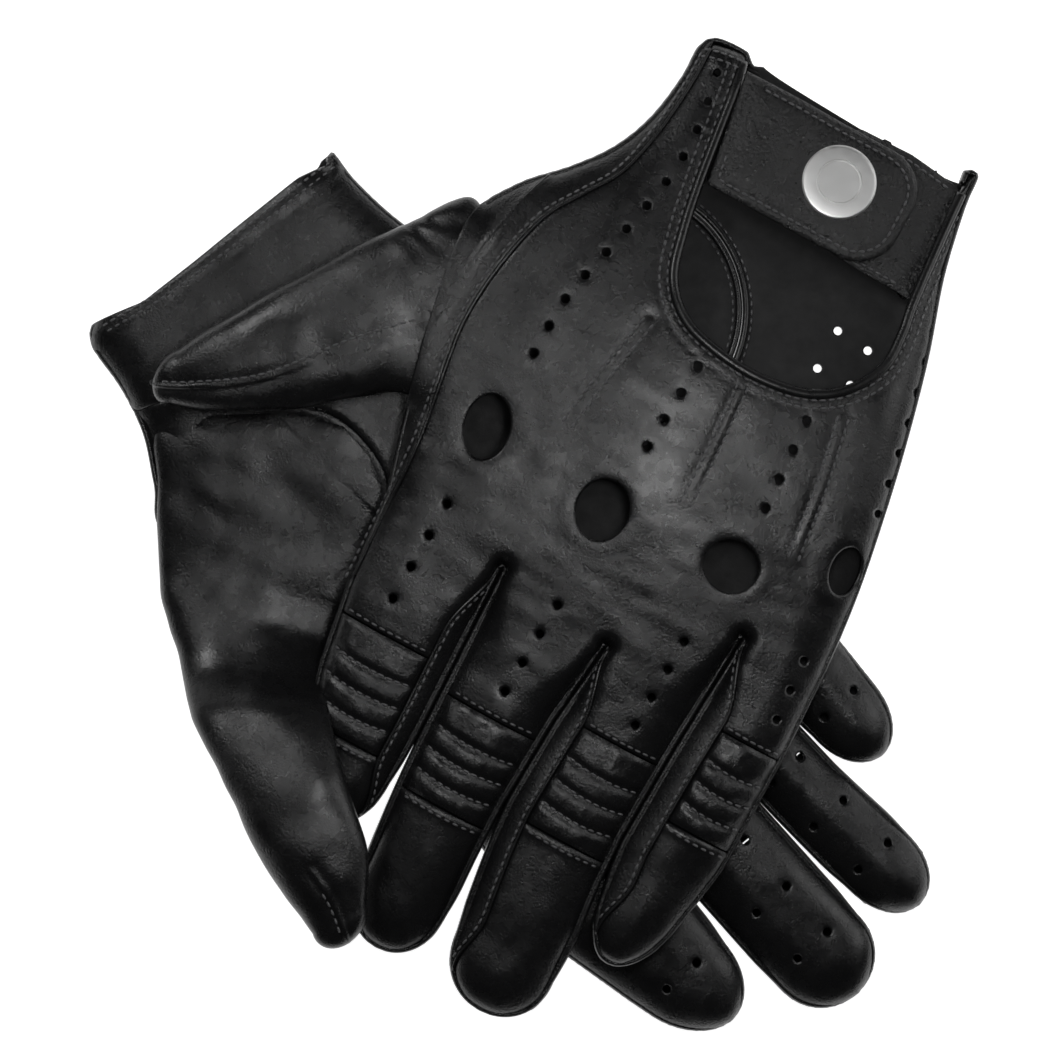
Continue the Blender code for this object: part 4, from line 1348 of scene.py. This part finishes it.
for glove, strips in ((LEFT, LEFT_STRIPS), (RIGHT, RIGHT_STRIPS)):
    back_of_hand(glove, strips)
    side_wrap(glove)
    palm_side(glove)
    fourchette_strips(glove, strips)
    rows = finger_backs(glove, strips) + seam_stitches(glove, strips)
    rows += thumb_seam_ring(glove) + keyhole_binding(glove) + hem_rows(glove)
    welts(glove, strips)
    side_band(glove)
    settle(glove, stitching(glove, f"{glove.side}_hand_stitches", rows))
    thumb(glove)
    cuff_facing(glove)
    strap(glove)
    tab(glove)
    snap(glove)

for name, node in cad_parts.items():
    if name.endswith(("snap_socket", "snap_stud", "snap_post")):
        node.data.materials.clear()
        node.data.materials.append(SNAP_STEEL)


# ---------------------------------------------------------------- floor, light and camera

FLOOR_SIZE = 3.0        # metres from the middle to each side
FLOOR_LEVEL = -0.0008


def floor():
    """A plain white floor, lit evenly enough to show as white."""
    mesh = bpy.data.meshes.new("floor")
    corners = ((-1, -1), (1, -1), (1, 1), (-1, 1))
    points = [(x * FLOOR_SIZE, y * FLOOR_SIZE, FLOOR_LEVEL) for x, y in corners]
    mesh.from_pydata(points, [], [(0, 1, 2, 3)])
    material, _, shader = new_material("floor_white")
    shader.inputs["Base Color"].default_value = (0.86, 0.86, 0.86, 1.0)
    shader.inputs["Roughness"].default_value = 0.9
    shader.inputs["Emission Color"].default_value = (1.0, 1.0, 1.0, 1.0)
    shader.inputs["Emission Strength"].default_value = 1.0
    mesh.materials.append(material)
    placed("floor", mesh)


def area_light(name, place, aim, size, power):
    """A square lamp turned toward a point, itself unseen by the camera."""
    light = bpy.data.lights.new(name, "AREA")
    light.energy = power
    light.size = size
    lamp = placed(name, light)
    lamp.location = place
    lamp.rotation_euler = (Vector(aim) - Vector(place)).to_track_quat("-Z", "Y").to_euler()
    lamp.visible_camera = False


floor()
area_light("key", (-0.45, 0.52, 0.66), (0.0, 0.0, 0.02), 0.16, 1.9)
area_light("centre", (0.050, 0.020, 0.36), (0.040, 0.012, 0.0), 0.05, 0.22)
area_light("thumb", (-0.13, 0.05, 0.42), (-0.085, -0.02, 0.0), 0.06, 0.05)
area_light("strap", (0.055, 0.105, 0.40), (0.070, 0.090, 0.03), 0.06, 0.13)
area_light("side", (0.75, 0.25, 0.45), (0.0, 0.0, 0.02), 0.45, 1.3)

world = bpy.data.worlds.new("studio")
world.use_nodes = True
background = world.node_tree.nodes["Background"]
background.inputs["Color"].default_value = (1.0, 1.0, 1.0, 1.0)
background.inputs["Strength"].default_value = 0.03
bpy.context.scene.world = world

SENSOR, LENS = 36.0, 120.0      # millimetres
MIDDLE_HEIGHT = 0.018   # of the gloves, in metres
FRAME_WIDTH = 0.266     # what the camera sees at that height, in metres
camera = bpy.data.cameras.new("camera")
camera.sensor_width = SENSOR
camera.lens = LENS
view = placed("camera", camera)
view.location = (-0.0001, 0.001, MIDDLE_HEIGHT + FRAME_WIDTH / (SENSOR / LENS))
view.rotation_euler = (0.0, 0.0, 0.0)
bpy.context.scene.camera = view
bpy.context.scene.view_settings.view_transform = "Standard"
